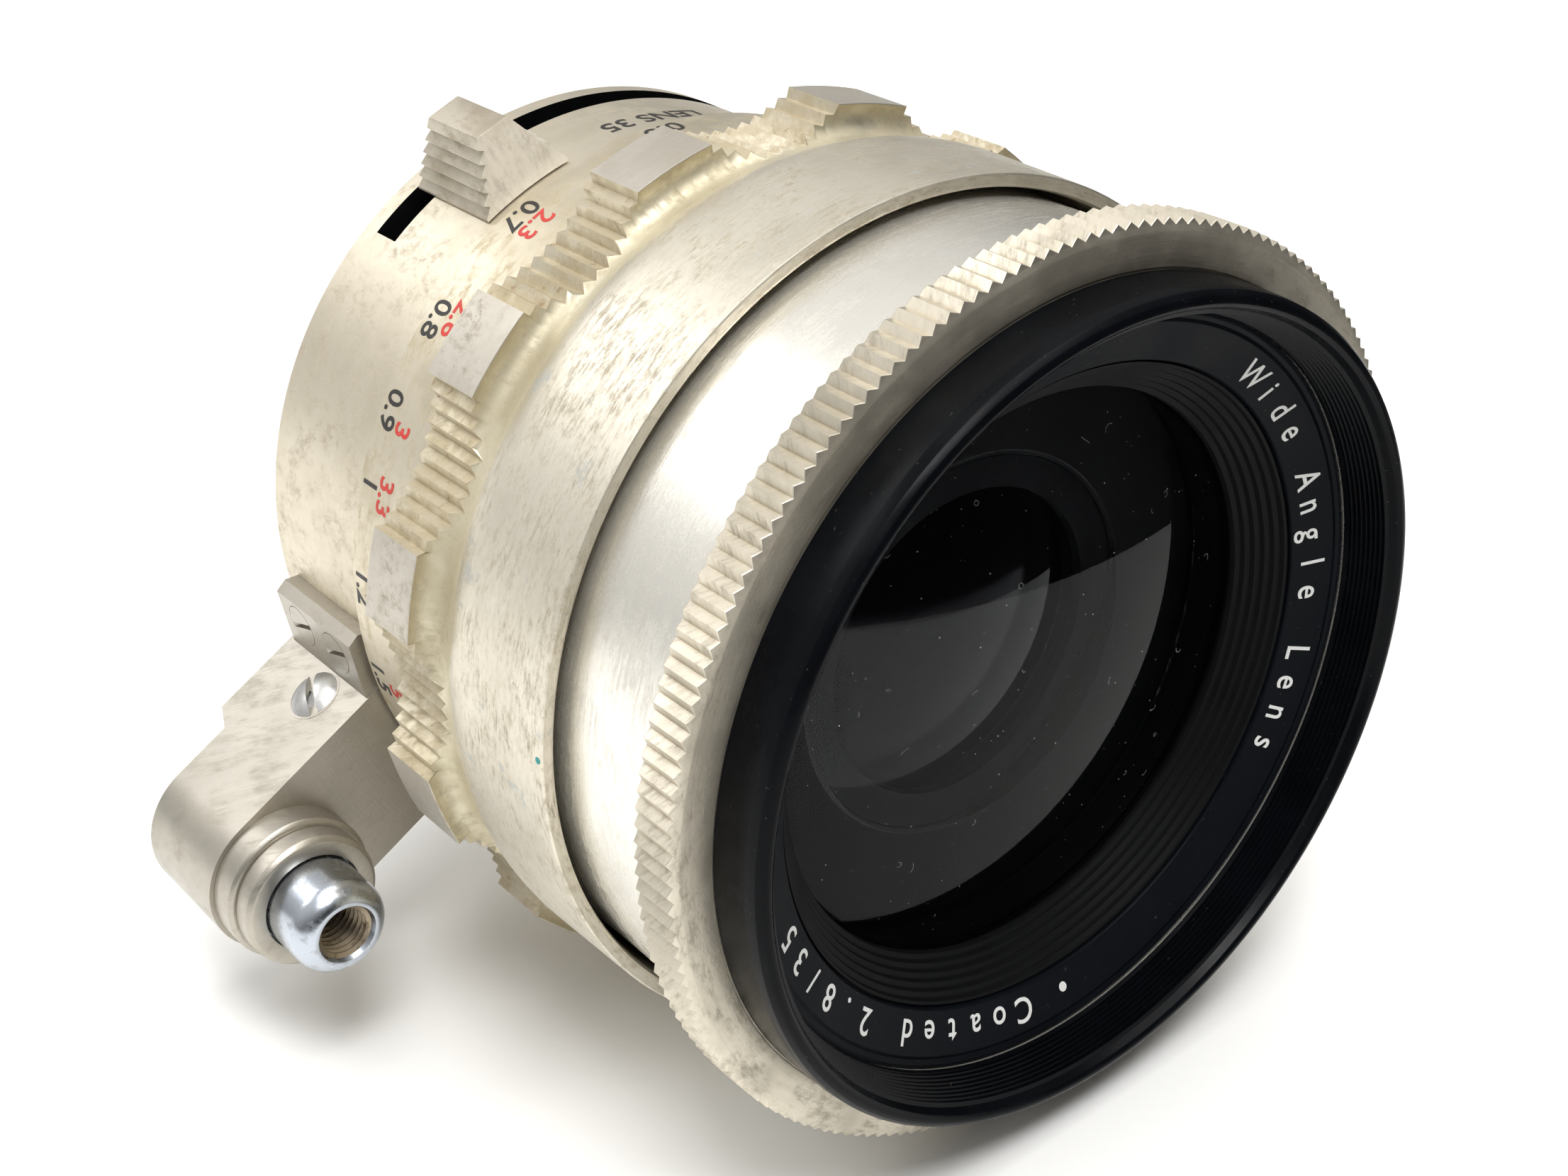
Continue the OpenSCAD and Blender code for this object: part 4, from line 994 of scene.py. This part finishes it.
def on_cone(clock, r0):
    """Places letters on the name ring's conical face: their tops point outward, reading clockwise."""
    def place(x, y, lift):
        r = r0 + y
        h = CONE_IN[1] + (r - CONE_IN[0]) * (CONE_OUT[1] - CONE_IN[1]) / (CONE_OUT[0] - CONE_IN[0])
        return at(clock, 1, 0) * r + at(clock - 90, 1, 0) * x + Vector((0, -(h + 0.012 + lift) * MM, 0))
    return place


LETTERS_R = 21.95
ring_marks = []
for text, start, pitch in (("Wide Angle Lens", 317.0, 5.65), ("Coated 2.8/35", 172.0, 5.5)):
    for i, ch in enumerate(text):
        if ch != " ":
            ring_marks.append((*glyphs(ch, 1.5, 0.015), on_cone(start - i * pitch, LETTERS_R)))
ring_marks.append((*mark_dot(0.3, 20), on_cone(181.0, LETTERS_R)))
solid_marks("ring_lettering", ring_marks, "front", m_ink_white)

# ---- CAD nodes that keep their own shape -----------------------------------

KEEP = {
    m_arm: ("arm_foot_screws",),
    m_screw: ("bayonet_screws", "arm_pivot_screw", "lever_screws", "nut_screws", "housing_screws",
              "click_ball", "click_spring", "aperture_pins", "drive_pin", "plunger_spring"),
    m_brass: ("guide_keys", "focus_retainer", "focus_nut", "trip_rocker"),
    m_black_inner: ("lever_carrier", "iris_housing", "iris_drive_ring", "aperture_sleeve", "inner_retainer",
                    "doublet_retainer", "rear_spacer"),
    m_blade: tuple(f"iris_blade_{i}" for i in range(1, 7)),
}
for mat, names in KEEP.items():
    for name in names:
        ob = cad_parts[name]
        ob.data.materials.clear()
        ob.data.materials.append(mat)
for name in ("arm_foot_screws", "arm_pivot_screw", "bayonet_screws"):
    round_edges(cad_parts[name], 0.04, harden=False)

# ---- floor, light and camera -----------------------------------------------

# A white sheet, turned by 45 degrees. It ends in front of the lens and to its right, and the dark
# beyond that edge is what the front glass reflects.
EDGE = 0.168 / math.sqrt(2)
FAR = 1.6
sheet = [(EDGE, -FAR), (EDGE, FAR), (-FAR, FAR), (-FAR, -FAR)]
turn = -math.pi / 4
me = bpy.data.meshes.new("floor")
me.from_pydata([(x * math.cos(turn) - y * math.sin(turn), x * math.sin(turn) + y * math.cos(turn), FLOOR_Z)
                for x, y in sheet], [], [(0, 1, 2, 3)])
floor = bpy.data.objects.new("floor", me)
bpy.context.scene.collection.objects.link(floor)
k_floor = Mat("floor_paper")
k_floor.set(color=k_floor.mix(k_floor.noise(k_floor.plain(0.02)), (0.96, 0.96, 0.95), (0.98, 0.98, 0.97)),
            rough=0.9)
me.materials.append(k_floor.m)


LIT = Vector((0, -0.02, 0))  # the point that the softboxes face


def softbox(name, place, size, power):
    """A white rectangular light; place and size in metres, power in watts."""
    li = bpy.data.lights.new(name, "AREA")
    li.shape, li.size, li.size_y = "RECTANGLE", size[0], size[1]
    li.energy = power
    ob = bpy.data.objects.new(name, li)
    bpy.context.scene.collection.objects.link(ob)
    ob.location = place
    ob.rotation_euler = (LIT - Vector(place)).to_track_quat("-Z", "Y").to_euler()


softbox("back_left", (-0.31, 0.50, 0.56), (0.46, 0.30), 1.35)
softbox("above", (-0.12, -0.26, 0.50), (0.22, 0.16), 1.5)
sun = bpy.data.lights.new("overhead", "SUN")
sun.energy, sun.angle, sun.color = 1.75, math.radians(50), (1.0, 0.99, 0.97)
sun_ob = bpy.data.objects.new("overhead", sun)
bpy.context.scene.collection.objects.link(sun_ob)
sun_ob.rotation_euler = Vector((-0.12, 0.10, -1.0)).to_track_quat("-Z", "Y").to_euler()

# The camera sees plain white. The part is lit by a sky that is brightest above and behind it.
world = bpy.data.worlds.new("studio")
bpy.context.scene.world = world
world.use_nodes = True
wt = world.node_tree
bg = wt.nodes["Background"]
back = wt.nodes.new("ShaderNodeBackground")
back.inputs["Color"].default_value = (1.0, 1.0, 1.0, 1)
back.inputs["Strength"].default_value = 1.0
bg.inputs["Color"].default_value = (1.0, 0.99, 0.97, 1)
coord = wt.nodes.new("ShaderNodeTexCoord")
lean = wt.nodes.new("ShaderNodeVectorMath")
lean.operation = "DOT_PRODUCT"
lean.inputs[1].default_value = Vector((-0.22, 0.40, 0.88)).normalized()
wt.links.new(coord.outputs["Generated"], lean.inputs[0])
glow = wt.nodes.new("ShaderNodeMapRange")
glow.interpolation_type = "SMOOTHSTEP"
for key, v in (("From Min", 0.0), ("From Max", 0.95), ("To Min", 0.03), ("To Max", 0.80)):
    glow.inputs[key].default_value = v
wt.links.new(lean.outputs["Value"], glow.inputs["Value"])
wt.links.new(glow.outputs["Result"], bg.inputs["Strength"])
path = wt.nodes.new("ShaderNodeLightPath")
mixer = wt.nodes.new("ShaderNodeMixShader")
wt.links.new(path.outputs["Is Camera Ray"], mixer.inputs[0])
wt.links.new(bg.outputs[0], mixer.inputs[1])
wt.links.new(back.outputs[0], mixer.inputs[2])
wt.links.new(mixer.outputs[0], wt.nodes["World Output"].inputs["Surface"])

bpy.context.scene.view_settings.view_transform = "Standard"

# the photograph's camera, with its focal length for a frame 36 mm wide
cam = bpy.data.cameras.new("camera")
cam.lens, cam.sensor_width, cam.clip_start = 52.1, 36.0, 0.005
camera = bpy.data.objects.new("camera", cam)
bpy.context.scene.collection.objects.link(camera)
right = Vector((0.7777, -0.627, -0.0448)).normalized()
back_dir = Vector((-0.5215, -0.683, 0.5109)).normalized()
up = back_dir.cross(right).normalized()
right = up.cross(back_dir)
place = Vector((-0.07985, -0.1280, 0.07442))
camera.matrix_world = Matrix((
    (right.x, up.x, back_dir.x, place.x), (right.y, up.y, back_dir.y, place.y),
    (right.z, up.z, back_dir.z, place.z), (0, 0, 0, 1)))
bpy.context.scene.camera = camera
